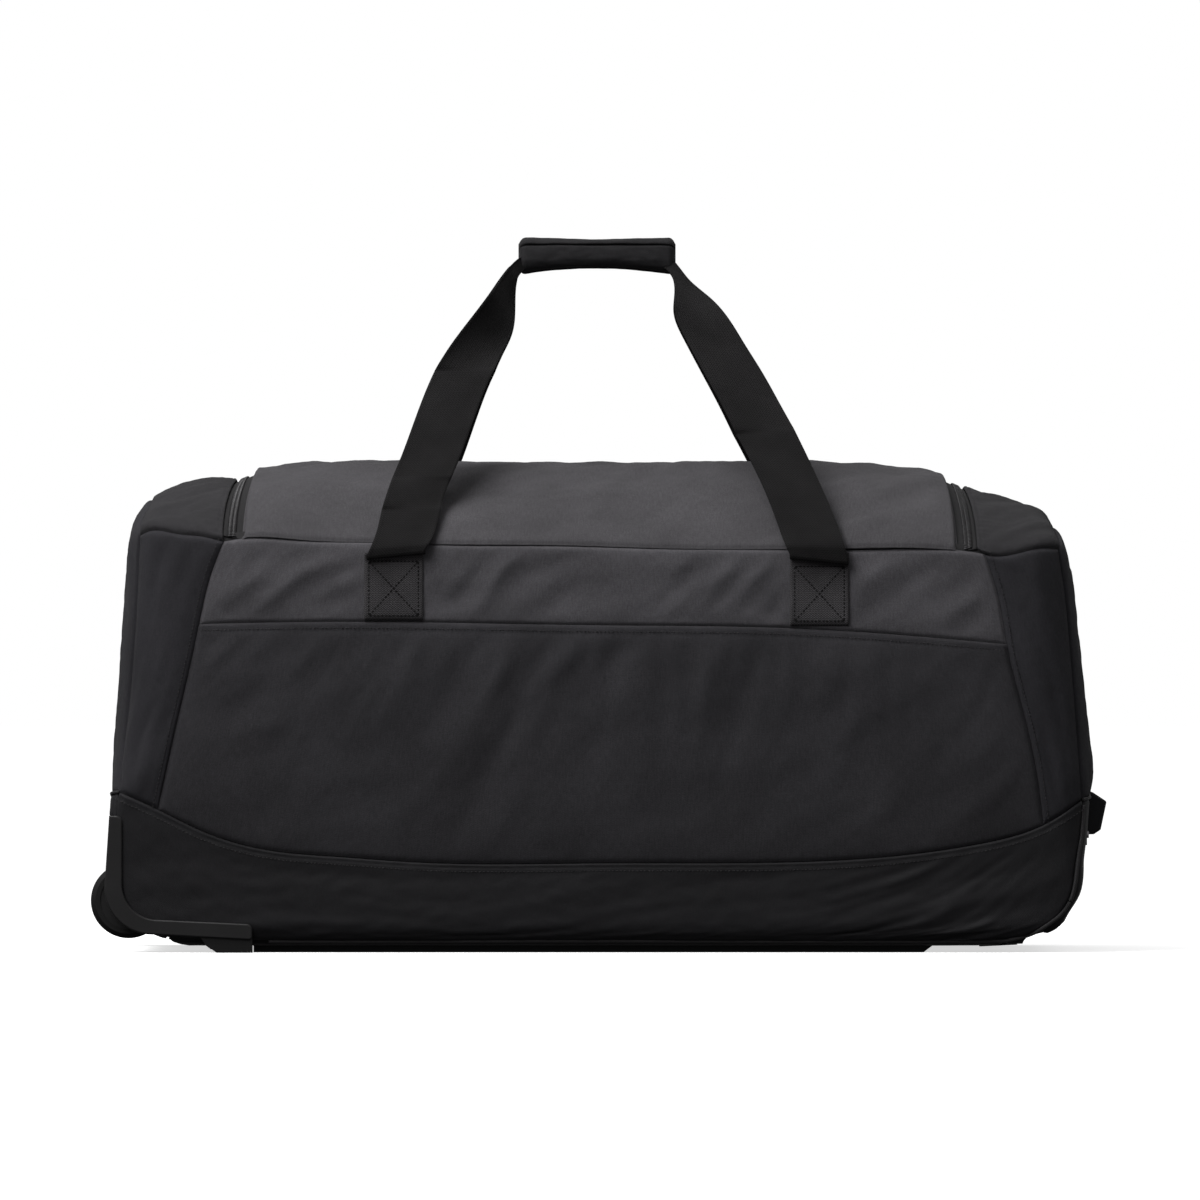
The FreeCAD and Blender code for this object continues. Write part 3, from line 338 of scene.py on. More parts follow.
def woven(name, base, pitch, rough=0.82, contrast=0.45, bump=0.7, mottle=0.2):
    """Plain weave: crossing ribs, thick and thin yarns, and slow patches of fading."""
    n = Nodes(name)
    uv = n.add("TexCoord")["UV"]
    half = n.moved(uv, (pitch / 2, pitch / 2, 0))
    over_under = [n.times(n.bands(place, "X", pitch, 0.6), n.bands(place, "Y", pitch * 1.06, 0.6))
                  for place in (uv, half)]
    weave = n.math("MAXIMUM", *over_under)
    lengthwise = n.stretched(uv, 1.0, 0.18, 1.0)
    crosswise = n.stretched(uv, 0.18, 1.0, 1.0)
    slub = n.sum((n.noise(lengthwise, 0.9 / pitch), 0.5), (n.noise(crosswise, 0.9 / pitch), 0.5))
    height = n.sum((weave, 0.6), (slub, 0.4))
    fade = n.vary(n.noise(uv, 9.0, 4.0), 0.3, 0.7, mottle)
    fleck = n.vary(n.noise(uv, 650.0, 2.0), 0.3, 0.7, 0.5 * mottle)
    streak = n.vary(n.noise(lengthwise, 700.0, 2.0), 0.35, 0.65, 0.4 * mottle)
    # Colour follows the weave's height: partly the yarns' own light and dark, partly painted shade in the hollows
    # and a painted highlight on the crests.
    tint = n.times(n.times(n.vary(height, 0.25, 0.75, contrast), n.times(fade, fleck)), streak)
    return n.finish(base, tint, rough, height, bump, 0.0004, Sheen_Weight=0.02, Sheen_Roughness=0.5,
                    Specular_IOR_Level=0.12)


def ribbed(name, base, pitch=0.0019, rough=0.88):
    """Webbing: fine ribs across the strap, with lengthwise columns that shift them."""
    n = Nodes(name)
    uv = n.add("TexCoord")["UV"]
    columns = n.bands(uv, "X", 0.0024, 0.3)
    shifted = n.moved(uv, n.add("CombineXYZ", {}, Y=n.times(columns, pitch * 0.6))[0])
    ribs = n.bands(shifted, "Y", pitch, 0.3)
    height = n.sum((ribs, 0.6), (columns, 0.1), (n.noise(uv, 900.0, 2.0), 0.3))
    fade = n.vary(n.noise(uv, 16.0, 3.0), 0.3, 0.7, 0.3)
    # Colour follows the ribs' height: partly the yarns' own light and dark, partly painted shade between the ribs
    # and a painted highlight on them.
    tint = n.times(n.vary(height, 0.2, 0.8, 0.45), fade)
    return n.finish(base, tint, rough, height, 0.9, 0.0006, Sheen_Weight=0.03, Sheen_Roughness=0.4,
                    Specular_IOR_Level=0.07)


def moulded(name, base, rough=0.5, grain=0.0009, bump=0.25, wear=0.18, metallic=0.0, coat=0.0, foot=None):
    """Moulded or metal surface: fine grain, faint scuffs, and lighter worn patches. Darker, at 0.15 of the colour,
    under the sloping line z = rise + slope * x where a foot is given."""
    n = Nodes(name)
    place = n.add("TexCoord")["Object"]
    cells = n.add("TexVoronoi", {"feature": "SMOOTH_F1"}, Vector=place, Scale=1 / grain, Smoothness=0.6)[0]
    scuff = n.noise(n.stretched(place, 1.0, 1.0, 0.25), 160.0, 5.0, 0.7)
    height = n.sum((cells, 0.7), (scuff, 0.3))
    fade = n.vary(n.noise(place, 22.0, 5.0), 0.35, 0.72, wear)
    tint = n.times(fade, n.ramp(scuff, 0.55, 0.8, 1.0, 1 + wear))
    if foot:
        rise, slope = foot
        x, _, z = n.add("SeparateXYZ", {}, Vector=place)
        above = n.math("SUBTRACT", z, n.times(x, slope))
        tint = n.times(tint, n.ramp(above, rise - 0.0008, rise, 0.15, 1.0))
    return n.finish(base, tint, rough, height, bump, 0.0002, 0.09, Metallic=metallic, Coat_Weight=coat,
                    Specular_IOR_Level=0.25)


def grey(level, blue=0.0):
    """Linear colour of a near-black grey, a touch violet, and bluer where asked."""
    return (level * (1.01 - 0.3 * blue), level * (0.965 - 0.15 * blue), level * (1.02 + blue))


CLOTH_PITCH = 0.0011
# The lid, side, pocket, gusset and shoulder cloths are one fabric in lit and shaded copies: their greys differ as
# painted light and shade, lighter on the lid and sides, and darker as painted shade on the pockets, the ends and the
# shoulders.
cloth_lid = woven("cloth_lid", grey(0.046, 0.02), CLOTH_PITCH)
cloth_side = woven("cloth_side", grey(0.055, 0.03), CLOTH_PITCH)
cloth_pocket_shaded = woven("cloth_pocket_shaded", grey(0.024, 0.05), CLOTH_PITCH)
cloth_gusset_shaded = woven("cloth_gusset_shaded", grey(0.020, 0.08), CLOTH_PITCH)
cloth_shoulder_shaded = woven("cloth_shoulder_shaded", grey(0.020, 0.03), CLOTH_PITCH)
cloth_boot = woven("cloth_boot", grey(0.0092, 0.06), 0.0014, rough=0.6, contrast=0.3, bump=0.4)
cloth_piping = woven("cloth_piping", grey(0.022), 0.0012, rough=0.55)
thread = ribbed("thread_black", grey(0.02), 0.0011, 0.5)
dark_thread = ribbed("thread_dark", grey(0.006), 0.0011, 0.6)
strap_web = ribbed("strap_web", grey(0.0085, -0.02))
patch_web = ribbed("patch_web", grey(0.034))
grip_cloth = woven("grip_cloth", grey(0.012, 0.03), 0.0012, rough=0.75)
tape_cloth = woven("tape_cloth", grey(0.011), 0.0009, rough=0.7, bump=0.4)
coil = moulded("coil_dark", grey(0.022), rough=0.3, metallic=0.35, wear=0.3, bump=0.1)
cad_finish = {
    "moulded_plastic": moulded("guard_plastic", grey(0.0085), rough=0.5, coat=0.02,
                               foot=(-0.0053, -0.0549)),
    "tyre_rubber": moulded("tyre_rubber", grey(0.0035), rough=0.75, grain=0.0006, bump=0.3),
    "hub_plastic": moulded("hub_plastic", grey(0.007), rough=0.5),
    "steel": moulded("steel", grey(0.35), rough=0.35, metallic=1.0, wear=0.1, bump=0.1),
    "tube_aluminium": moulded("tube_aluminium", grey(0.5), rough=0.3, metallic=1.0, wear=0.06, bump=0.08),
    "grip_plastic": moulded("grip_plastic", grey(0.0035, 0.3), rough=0.55),
    "button_plastic": moulded("button_plastic", grey(0.03), rough=0.4),
    "zip_metal": moulded("zip_metal", grey(0.09), rough=0.3, metallic=0.9, wear=0.25, bump=0.1),
    "board_plastic": moulded("board_plastic", grey(0.04), rough=0.6),
    "floor_fabric": woven("floor_fabric", grey(0.05), 0.0012),
    "boot_fabric": cloth_boot,
    "shell_fabric": cloth_side,
    "piping": cloth_piping,
    "zip_tape": tape_cloth,
    "zip_chain": coil,
    "webbing": strap_web,
    "grip_fabric": grip_cloth,
}
SKID = moulded("skid_plastic", grey(0.0016), rough=0.65)
for node_name, thing in frame["nodes"].items():
    finish = SKID if node_name.startswith("skid") else cad_finish[slot_of[node_name]]
    thing.data.materials.clear()
    thing.data.materials.append(finish)


# ------------------------------------------------------------------ pieces

CLOTH, TAPE = 1.4, 0.8


def added(name, data):
    """A new object of some data, put in the scene."""
    made = bpy.data.objects.new(name, data)
    bpy.context.scene.collection.objects.link(made)
    return made


def grid_faces(rows, cols, close=False):
    k = np.arange(rows * cols).reshape(rows, cols)
    if close:
        k = np.hstack([k, k[:, :1]])
    return np.stack([k[:-1, :-1], k[:-1, 1:], k[1:, 1:], k[1:, :-1]], -1).reshape(-1, 4)


class Parts:
    """Collects grids and solids, in mm, that become one object."""

    def __init__(self):
        self.verts, self.faces, self.uv, self.count = [], [], [], 0

    def put(self, verts, faces, uv):
        self.faces += [[i + self.count for i in face] for face in faces]
        self.verts.append(verts)
        self.uv.append(uv)
        self.count += len(verts)

    def grid(self, p, uv, facing, keep=None):
        """A sheet of points by rows, wound so that it faces the given way; keep picks faces by their middles."""
        rows, cols = p.shape[:2]
        faces = grid_faces(rows, cols)
        a, b, c = p[rows // 2, cols // 2], p[rows // 2, cols // 2 - 1], p[rows // 2 - 1, cols // 2]
        if np.dot(np.cross(b - a, c - a), facing[rows // 2, cols // 2]) < 0:
            faces = faces[:, ::-1]
        if keep is not None:
            faces = faces[keep((p[:-1, :-1] + p[1:, 1:]).reshape(-1, 3) / 2)]
        self.put(p.reshape(-1, 3), faces.tolist(), uv.reshape(-1, 2))

    def make(self, name, material, slot, body, replaces=(), thick=0.0):
        """The object in metres, riding on a body."""
        mesh = bpy.data.meshes.new(name)
        mesh.from_pydata((np.vstack(self.verts) * MM).tolist(), [], self.faces)
        mesh.validate()
        layer = mesh.uv_layers.new(name="UVMap")
        index = np.zeros(len(mesh.loops), int)
        mesh.loops.foreach_get("vertex_index", index)
        layer.data.foreach_set("uv", (np.vstack(self.uv)[index] * MM).ravel())
        mesh.polygons.foreach_set("use_smooth", [True] * len(mesh.polygons))
        mesh.materials.append(material)
        made = added(name, mesh)
        if thick:
            shell = made.modifiers.new("thickness", "SOLIDIFY")
            shell.thickness, shell.offset = thick * MM, -1
        if body:
            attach(made, body)
        if replaces:
            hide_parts(*replaces)
        return made


EDGE_ROWS = np.array([0, 0.7, 1.5, 2.4, 3.6, 5.2, 7.4, 10.2])


def spread(length, step):
    """Fractions of a length, close together near both ends."""
    inner = np.linspace(EDGE_ROWS[-1], length - EDGE_ROWS[-1], max(3, int((length - 20) / step)))
    return np.concatenate([EDGE_ROWS[:-1], inner, (length - EDGE_ROWS[:-1])[::-1]]) / length


def tucked(d):
    return -2.0 * np.exp(-(d / 2.4) ** 2)


def hemmed(d):
    """A folded, topstitched edge that lies on its neighbour."""
    lap = 1.3 * np.exp(-(d / 15) ** 2) * (1 - np.exp(-(d / 0.7) ** 2))
    return lap - 0.5 * np.exp(-((d - 5.5) / 1.1) ** 2)


def under(d):
    return -1.6 * np.exp(-(d / 1.8) ** 2)


def stitched(d):
    """A tucked edge with a row of topstitching beside it."""
    return tucked(d) - 0.45 * np.exp(-((d - 5.0) / 1.1) ** 2)


def patch(bottom, top, left, right, step=4.0, puff=2.5, sides=None, wrinkle=None, field=outside, pucker=0.5,
          seed=1, ruffle=None):
    """A cloth panel between four seams: points, outward normals and metric place of each point."""
    wide = max(lengths(bottom)[-1], lengths(top)[-1])
    high = max(lengths(left)[-1], lengths(right)[-1])
    u, v = spread(wide, step), spread(high, step)
    b, t, l, r = along(bottom, u), along(top, u), along(left, v), along(right, v)
    uu, vv = u[None, :, None], v[:, None, None]
    p = (1 - vv) * b[None] + vv * t[None] + (1 - uu) * l[:, None] + uu * r[:, None]
    p = p - ((1 - uu) * (1 - vv) * b[0] + uu * (1 - vv) * b[-1] + (1 - uu) * vv * t[0] + uu * vv * t[-1])
    p = settle(p, field)
    normal = unit(normals(p, field))
    full = np.zeros(p.shape[:2])
    px, pz = uu[..., 0] * wide + full, vv[..., 0] * high + full
    d = {"left": px, "right": (1 - uu[..., 0]) * wide + full,
         "bottom": pz, "top": (1 - vv[..., 0]) * high + full}
    nearest = np.minimum.reduce(list(d.values()))
    dip, rise, inside = full, full, full + 1
    for side, distance in d.items():
        edge = (sides or {}).get(side, tucked)(distance)
        dip, rise = np.minimum(dip, edge), rise + np.maximum(edge, 0)
        inside = inside * (1 - np.exp(-distance / 16))
    lift = dip + rise + puff * inside
    lift = lift + pucker * np.exp(-nearest / 11) * (1 - np.exp(-nearest / 2)) * noise(px / 7, pz / 7, seed + 90)
    if wrinkle is not None:
        lift = lift + wrinkle(px, pz, p) * (1 - np.exp(-(nearest / 16) ** 2))
    if ruffle:
        gap = d[ruffle]
        wave = np.sin(pz / 1.5 + 2.4 * noise(pz / 30, px / 60, seed + 9))
        wave = wave * (0.6 + 0.6 * noise(pz / 18, px / 18, seed))
        lift = lift + 1.9 * np.exp(-gap / 12) * (1 - np.exp(-gap / 2.5)) * wave
    return p + normal * np.maximum(lift, -3.2)[..., None], normal, np.stack([px, pz], -1)


# ------------------------------------------------------------------ seams, mm

boot_seam = front([(-407, 136), (-374, 121), (-337, 103), (-283, 87), (-220, 81), (-156, 76.5), (0, 75.7),
                   (160, 76.5), (257, 82.5), (321, 92), (375, 108), (408.5, 129.5)], 400)
welt_seam = front([(-339, 278), (-258, 279.7), (-170, 279.7), (0, 277), (159, 274.6), (238, 270), (344, 261)], 300)
hinge_seam = front([(-318, 348.5), (-298, 351.5), (-276, 351), (-246, 349), (-194, 348), (-141, 346), (-34, 345),
                    (53, 342.6), (155, 341.7), (210, 341), (293, 341.7), (315, 340), (325, 338)], 400)
left_slant = front([(-374, 121), (-366, 158), (-357, 198), (-339, 278), (-330, 317), (-318, 348.5)], 200)
right_slant = front([(375, 108), (370, 148), (357, 208), (344, 261), (337.5, 299), (325, 338)], 200)
left_end_seam = front([(-407, 136), (-404.5, 165), (-400, 205), (-395, 262), (-392.5, 310), (-391, 353)], 200)
right_end_seam = front([(408.5, 129.5), (402.5, 212), (399, 257), (394, 309), (391, 330), (389.5, 342)], 200)
left_shoulder_seam = front([(-391, 353), (-383, 357), (-357, 355), (-337, 353), (-318, 348.5)], 120)
right_shoulder_seam = front([(325, 338), (331, 336.5), (351, 338), (372, 342.5), (389.5, 342)], 120)
boot_low = front([(-365, 12), (-300, 10.6), (-150, 10.4), (100, 10.4), (300, 10.4), (342, 10.6)], 200)
boot_left = front([(-365, 12), (-383, 20), (-397, 33), (-405, 50), (-409, 75), (-410, 110), (-407, 136)], 160)
boot_right = front([(342, 10.6), (359.5, 14.5), (376, 22), (389, 32), (399, 48), (403.5, 76), (406.5, 97),
                    (408.5, 129.5)], 160)


def end_over(seam, reach_x):
    """The end panel's seam over the top, from the near corner to the far one."""
    x0, y0 = seam[-1, 0], abs(seam[-1, 1])
    ys = np.linspace(-y0, y0, 9)
    xs = reach_x + (x0 - reach_x) * np.abs(ys / y0) ** 3
    return pinned(on_top(*smooth(np.column_stack([xs, ys])).T), seam[-1])


left_over, right_over = end_over(left_end_seam, -382.5), end_over(right_end_seam, 386.0)

TAPE_X, TAPE_CORNER, TAPE_Y = 319.0, 82.0, 123.0
FAR_SEAM_Y = 110.5
ZIP_LEAN = 0.028


def outline(half_x, top_y, corner, low_y=-184.0, count=400):
    """Plan of the zip: up the left, round the far corners and down the right."""
    turn = np.linspace(0, math.pi / 2, 30)
    cx, cy = half_x - corner, top_y - corner
    left = [(-cx - corner * math.cos(t), cy + corner * math.sin(t)) for t in turn]
    points = [(-half_x, low_y)] + left + [(-x, y) for x, y in left[::-1]] + [(half_x, low_y)]
    line = along(np.array(points), np.linspace(0, 1, count))
    t = np.clip((line[:, 1] + 184) / 200, 0, 1)
    line[:, 0] *= 1 - ZIP_LEAN * t * t * (3 - 2 * t)
    return line


tape_line = pinned(outline(TAPE_X, TAPE_Y, TAPE_CORNER, hinge_seam[0, 1]), hinge_seam[0, :2], hinge_seam[-1, :2])
tape_top = pinned(on_top(*tape_line.T), hinge_seam[0], hinge_seam[-1])
first = int(np.argmax(tape_top[:, 1] > FAR_SEAM_Y))
last = len(tape_top) - 1 - int(np.argmax(tape_top[::-1, 1] > FAR_SEAM_Y))
left_zip_seam, far_zip_seam = tape_top[:first + 1], tape_top[first:last + 1]
right_zip_seam = tape_top[last:][::-1]


def far_seam(outer, inner):
    """From an end's seam, past a bend on the far seam's line, to the zip."""
    plan = np.array([outer[:2], (outer[0] * 0.6 + inner[0] * 0.4, FAR_SEAM_Y), inner[:2]])
    return on_top(*along(plan, np.linspace(0, 1, 80)).T)


def at_y(poly, y):
    return poly[int(np.argmin(np.abs(poly[:, 1] - y)))]


left_far_seam = far_seam(at_y(left_over, FAR_SEAM_Y), left_zip_seam[-1])
right_far_seam = far_seam(right_zip_seam[-1], at_y(right_over, FAR_SEAM_Y))


# ------------------------------------------------------------------ shell panels

def side_folds(seed):
    def shape(p, q, where):
        x, z = where[..., 0], where[..., 2]
        lift = 3.6 * folds(p, q, 52, 90, 24, seed) + 1.6 * folds(p, q, 20, 120, 30, seed + 1)
        lift = lift + 0.35 * noise(p / 9, q / 9, seed + 2)
        for foot, spin in ((-171, -1), (183, 1)):
            reach = np.exp(-(((x - foot) / 75) ** 2 + ((z - 285) / 60) ** 2))
            spokes = np.arctan2(z - 262, np.abs(x - foot) + 1) * 9 + 0.4 * spin
            lift = lift + 1.1 * reach * np.sin(spokes) * np.clip((np.abs(x - foot) - 22) / 20, 0, 1)
        for foot in (-174.5, 185.5):
            lift = lift * np.clip((np.abs(x - foot) - 24) / 14, 0, 1)
        return lift
    return shape


def pocket_folds(seed):
    def shape(p, q, where):
        lift = 3.6 * folds(p, q, 54, 130, 34, seed) + 1.7 * folds(p, q, 30, 110, 26, seed + 1)
        hang = np.clip(q / 170, 0, 1) ** 1.5 * folds(p, q, 64, 90, 17, seed + 2)
        return (lift + 2.6 * hang) * (0.45 + 0.55 * np.clip(q / 150, 0, 1)) + 0.3 * noise(p / 9, q / 9, seed + 3)
    return shape


def boot_folds(seed):
    def shape(p, q, where):
        x = where[..., 0]
        pull = 1 / (1 + np.exp(-(np.abs(x) - 215) / 30))
        pull = np.where(x > 0, pull, 0.25 * pull)
        lift = 1.0 * folds(p, q, 12, 170, 30, seed) + 0.35 * noise(p / 14, q / 14, seed + 3)
        pull = pull / (1 + np.exp((x - 345) / 12))
        return lift + 2.3 * pull * folds(p, q, 40, 80, 13, seed + 1)
    return shape


def plain_folds(seed, angle=70, gain=1.0):
    def shape(p, q, where):
        return gain * (3.6 * folds(p, q, angle, 110, 26, seed) + 0.5 * noise(p / 10, q / 10, seed + 3))
    return shape


def shoulder_folds(seed):
    def shape(p, q, where):
        return 3.2 * folds(p, q, 30, 110, 26, seed) + 0.4 * noise(p / 10, q / 10, seed + 3)
    return shape


def near_far(name, build, material, slot, nodes):
    """The same panel on the near side and, mirrored, on the far side."""
    for side in ("near", "far"):
        parts = Parts()
        build(parts, side)
        parts.make(side + name, material, slot, "bag", [side + nodes], CLOTH)


def lay(parts, side, *lines, seed, **options):
    """Adds one panel between its bottom, top, left and right seams, mirrored to the far side where asked."""
    far = side == "far"
    p, normal, place = patch(*(on_side(line, far) for line in lines), seed=seed + 50 * far, **options)
    parts.grid(p, place, normal)


def side_panel(parts, side):
    seed = 11 if side == "near" else 61
    lay(parts, side, welt_seam, hinge_seam, between(left_slant, 278, 348.5, 2), between(right_slant, 261, 338, 2),
        puff=2.0, sides={"bottom": under, "left": stitched, "right": stitched}, wrinkle=side_folds(seed), seed=seed)


def pocket_panel(parts, side):
    seed = 21 if side == "near" else 71
    lay(parts, side, between(boot_seam, -374, 375), welt_seam, between(left_slant, 121, 278, 2),
        between(right_slant, 108, 261, 2), puff=4.5, sides={"top": hemmed, "bottom": under},
        wrinkle=pocket_folds(seed), seed=seed)


def boot_panel(parts, side):
    seed = 31 if side == "near" else 81
    lay(parts, side, boot_low, boot_seam, boot_left, boot_right, puff=2.2, sides={"top": hemmed},
        wrinkle=boot_folds(seed), seed=seed)


near_far("_side_cloth", side_panel, cloth_side, "shell_fabric", "_side_panel")
near_far("_pocket_cloth", pocket_panel, cloth_pocket_shaded, "shell_fabric", "_pocket_panel")
near_far("_boot_cloth", boot_panel, cloth_boot, "boot_fabric", "_boot_side")

ENDS = {
    "left": (between(boot_seam, -407, -374), left_shoulder_seam, left_far_seam, (left_end_seam, left_slant),
             (between(left_over, left_over[0, 1], FAR_SEAM_Y, 1), left_zip_seam), "right", 75, 51),
    "right": (between(boot_seam, 375, 408.5), right_shoulder_seam, right_far_seam, (right_slant, right_end_seam),
              (right_zip_seam, between(right_over, right_over[0, 1], FAR_SEAM_Y, 1)), "left", 100, 55),
}
for side, (low, corner_seam, top, walls, rims, inward, slope, seed) in ENDS.items():
    parts = Parts()
    for face, fold_seed in (("near", 41), ("far", 45)):
        lay(parts, face, low, corner_seam, *walls, sides={inward: under, side: stitched},
            wrinkle=plain_folds(fold_seed, slope), seed=fold_seed)
    parts.make(side + "_gusset_cloth", cloth_gusset_shaded, "shell_fabric", "bag", [side + "_gussets"], CLOTH)

    parts = Parts()
    lay(parts, "near", corner_seam, top, *rims, sides={inward: hemmed}, wrinkle=shoulder_folds(seed), seed=seed,
        pucker=0.9, puff=3.0, ruffle=inward)
    parts.make(side + "_shoulder_cloth", cloth_shoulder_shaded, "shell_fabric", "bag", [side + "_shoulder_panel"], CLOTH)

far_edge = np.vstack([mirror(left_shoulder_seam)[:-1], mirror(hinge_seam)[:-1], mirror(right_shoulder_seam)])
near_edge = np.vstack([left_far_seam[:-1], far_zip_seam[:-1], right_far_seam])
parts = Parts()
lay(parts, "near", near_edge, far_edge, between(left_over, FAR_SEAM_Y, left_over[-1, 1], 1),
    between(right_over, FAR_SEAM_Y, right_over[-1, 1], 1), puff=2.0, wrinkle=plain_folds(57, 5), seed=57)
parts.make("far_top_cloth", cloth_shoulder_shaded, "shell_fabric", "bag", ["far_top_panel"], CLOTH)


def end_line(corner, z, sign):
    """A seam across an end, level at height z between the two corners."""
    ys = np.linspace(-abs(corner[1]), abs(corner[1]), 60)
    return pinned(on_end(ys, z + (corner[2] - z) * np.abs(ys / corner[1]) ** 4, sign), corner)


left_boot_top, right_boot_top = end_line(boot_seam[0], 131, -1), end_line(boot_seam[-1], 134, 1)
WINDOW_Y, WINDOW_LOW, WINDOW_HIGH = 97.0, 93.0, 137.0


def off_window(middle):
    """Faces outside the opening of the trolley's bezel."""
    inside = (np.abs(middle[:, 1]) < WINDOW_Y) & (middle[:, 2] > WINDOW_LOW) & (middle[:, 2] < WINDOW_HIGH)
    return ~inside


def under_bezel(p):
    """Presses the cloth flat behind the trolley bezel's flange."""
    room = np.minimum(p[..., 2] - 78, 156 - p[..., 2])
    near = np.clip((118 - np.abs(p[..., 1])) / 12, 0, 1) * np.clip(room / 10, 0, 1)
    out = p.copy()
    out[..., 0] = np.where(near > 0, p[..., 0] * (1 - near) + np.minimum(p[..., 0], 411.5) * near, p[..., 0])
    return out


for side, low, high, seam, seed, fold_seed in (
        ("left", left_boot_top, left_over, left_end_seam, 91, 93),
        ("right", right_boot_top, right_over, right_end_seam, 95, 95)):
    parts = Parts()
    p, normal, place = patch(low, high, seam, mirror(seam), puff=2.0, wrinkle=plain_folds(fold_seed, 80), seed=seed)
    if side == "right":
        parts.grid(under_bezel(p), place, normal, off_window)
    else:
        parts.grid(p, place, normal)
    parts.make(side + "_end_cloth", cloth_gusset_shaded, "shell_fabric", "bag", [side + "_end_panel"], CLOTH)

# the boot's ends and bottom

def across_bottom(corner):
    """A seam straight across the bottom from one side's welt to the other."""
    return pinned(cast(corner[0], np.linspace(corner[1], -corner[1], 60), 0, 2, -40, 90), corner)


bottom_left, bottom_right = across_bottom(boot_low[0]), across_bottom(boot_low[-1])
parts = Parts()
p, normal, place = patch(bottom_right, right_boot_top, boot_right, mirror(boot_right), puff=2.0,
                         wrinkle=plain_folds(101, 90, 0.4), seed=101)
parts.grid(under_bezel(p), place, normal, off_window)
parts.make("right_boot_end_cloth", cloth_boot, "boot_fabric", "bag", ["right_boot_end"], CLOTH)

HOUSING_Y, HOUSING_LOW, HOUSING_TOP = 139.0, 24.0, 113.0
low = between(boot_left, HOUSING_TOP, 136, 2)
band_low = pinned(on_end(np.linspace(low[0, 1], -low[0, 1], 60), HOUSING_TOP, -1), low[0])
middle_top = between(band_low, -HOUSING_Y, HOUSING_Y, 1)
ends = [on_end(sign * HOUSING_Y, np.linspace(HOUSING_LOW, HOUSING_TOP, 40), -1) for sign in (-1, 1)]
for line, k in ((ends[0], 0), (ends[1], -1)):
    line[-1] = middle_top[k]
foot = pinned(on_end(np.linspace(-HOUSING_Y, HOUSING_Y, 60), HOUSING_LOW, -1), ends[0][0], ends[1][0])
parts = Parts()
for lines in ((band_low, left_boot_top, low, mirror(low)), (foot, middle_top, ends[0], ends[1])):
    p, normal, place = patch(*lines, puff=0.8, wrinkle=plain_folds(103, 80, 0.5), seed=103)
    parts.grid(p, place, normal)
parts.make("left_boot_end_cloth", cloth_boot, "boot_fabric", "bag", ["left_boot_end"], CLOTH)

parts = Parts()
lay(parts, "near", boot_low, mirror(boot_low), bottom_left, bottom_right, puff=0.3,
    wrinkle=lambda p, q, w: 0.25 * noise(p / 40, q / 40, 7), seed=105, step=7.0)
parts.make("boot_bottom_cloth", cloth_boot, "boot_fabric", "bag", ["boot_bottom"], 1.6)


def binding(parts, seam, sink=3.5, reach=7.0):
    """Seam tape behind a seam, so that no gap in it lets light through the bag."""
    n = unit(normals(seam))
    across = unit(np.cross(n, np.gradient(seam, axis=0)))
    steps = np.array([-1.0, 0.0, 1.0])[:, None, None] * reach
    p = seam[None] - n[None] * sink + across[None] * steps
    parts.grid(p, np.stack([p[..., 0], p[..., 2]], -1), np.broadcast_to(n[None], p.shape))


parts = Parts()
for seam in (boot_seam, welt_seam, hinge_seam, left_slant, right_slant, left_end_seam, right_end_seam,
             left_shoulder_seam, right_shoulder_seam, boot_low, boot_left, boot_right):
    for line in (seam, mirror(seam)):
        binding(parts, line[::3])
for seam in (left_over, right_over, left_boot_top, left_far_seam, right_far_seam, bottom_left, bottom_right):
    binding(parts, seam[::2])
binding(parts, tape_top[::2], 3.2, 5.0)
parts.make("seam_binding", tape_cloth, "piping", "bag", thick=TAPE)

# the covered floor of the main compartment: cloth laid over the board and down its edge

def floor_cover():
    half_x, half_y, corner, top = 398.0, 173.0, 30.0, 122.9
    turn = np.linspace(0, math.pi / 2, 8)
    ring = np.vstack([np.column_stack([sx * (half_x - corner) + corner * np.cos(a), sy * (half_y - corner)
                                       + corner * np.sin(a)])
                      for sx, sy, a in ((1, 1, turn), (-1, 1, turn + math.pi / 2), (-1, -1, turn + math.pi),
                                        (1, -1, turn + 1.5 * math.pi))])
    ring = along(np.vstack([ring, ring[:1]]), np.linspace(0, 1, 240))
    rows = [np.column_stack([ring * (1 + 0.6 / half_y), np.full(240, top - 2.8)])]
    for k in np.concatenate([[1.0, 0.995, 0.985], np.linspace(0.96, 0.02, 26)]):
        p, q = ring[:, 0] * k, ring[:, 1] * k
        rise = 0.9 * (1 - k ** 6) + 0.5 * (1 - k ** 6) * noise(p / 40, q / 40, 151)
        rows.append(np.column_stack([p, q, top + rise]))
    p = np.stack(rows)
    up = np.broadcast_to(np.array([0.0, 0.0, 1.0]), p.shape)
    parts = Parts()
    parts.grid(p, p[..., :2], up)
    parts.make("divider_floor_cover", cad_finish["floor_fabric"], "floor_fabric", "bag", thick=TAPE)


floor_cover()


# ------------------------------------------------------------------ lid

LID_X, LID_FAR_Y, LID_CORNER = 303.0, 108.0, 66.0
hinge_lid = between(hinge_seam, -LID_X, LID_X)
lid_line = outline(LID_X, LID_FAR_Y, LID_CORNER, hinge_lid[0, 1], 401)
lid_top = pinned(np.column_stack([lid_line, lid_height(*lid_line.T)]), hinge_lid[0], hinge_lid[-1])
corner_at = int(np.argmin(np.abs(lid_top[:200, 1] - (LID_FAR_Y - 0.29 * LID_CORNER))))


def proud(d):
    """The lid's bound edge rolls down to the zip."""
    return -4.5 * np.exp(-(d / 2.2) ** 2) + 0.5 * np.exp(-((d - 5) / 3.0) ** 2) - 0.4 * np.exp(-((d - 9) / 1.1) ** 2)


def lid_folds(p, q, where):
    lift = 4.2 * folds(p, q, 14, 150, 36, 111) + 2.2 * folds(p, q, 48, 100, 26, 113)
    return lift + 0.35 * noise(p / 10, q / 10, 115)


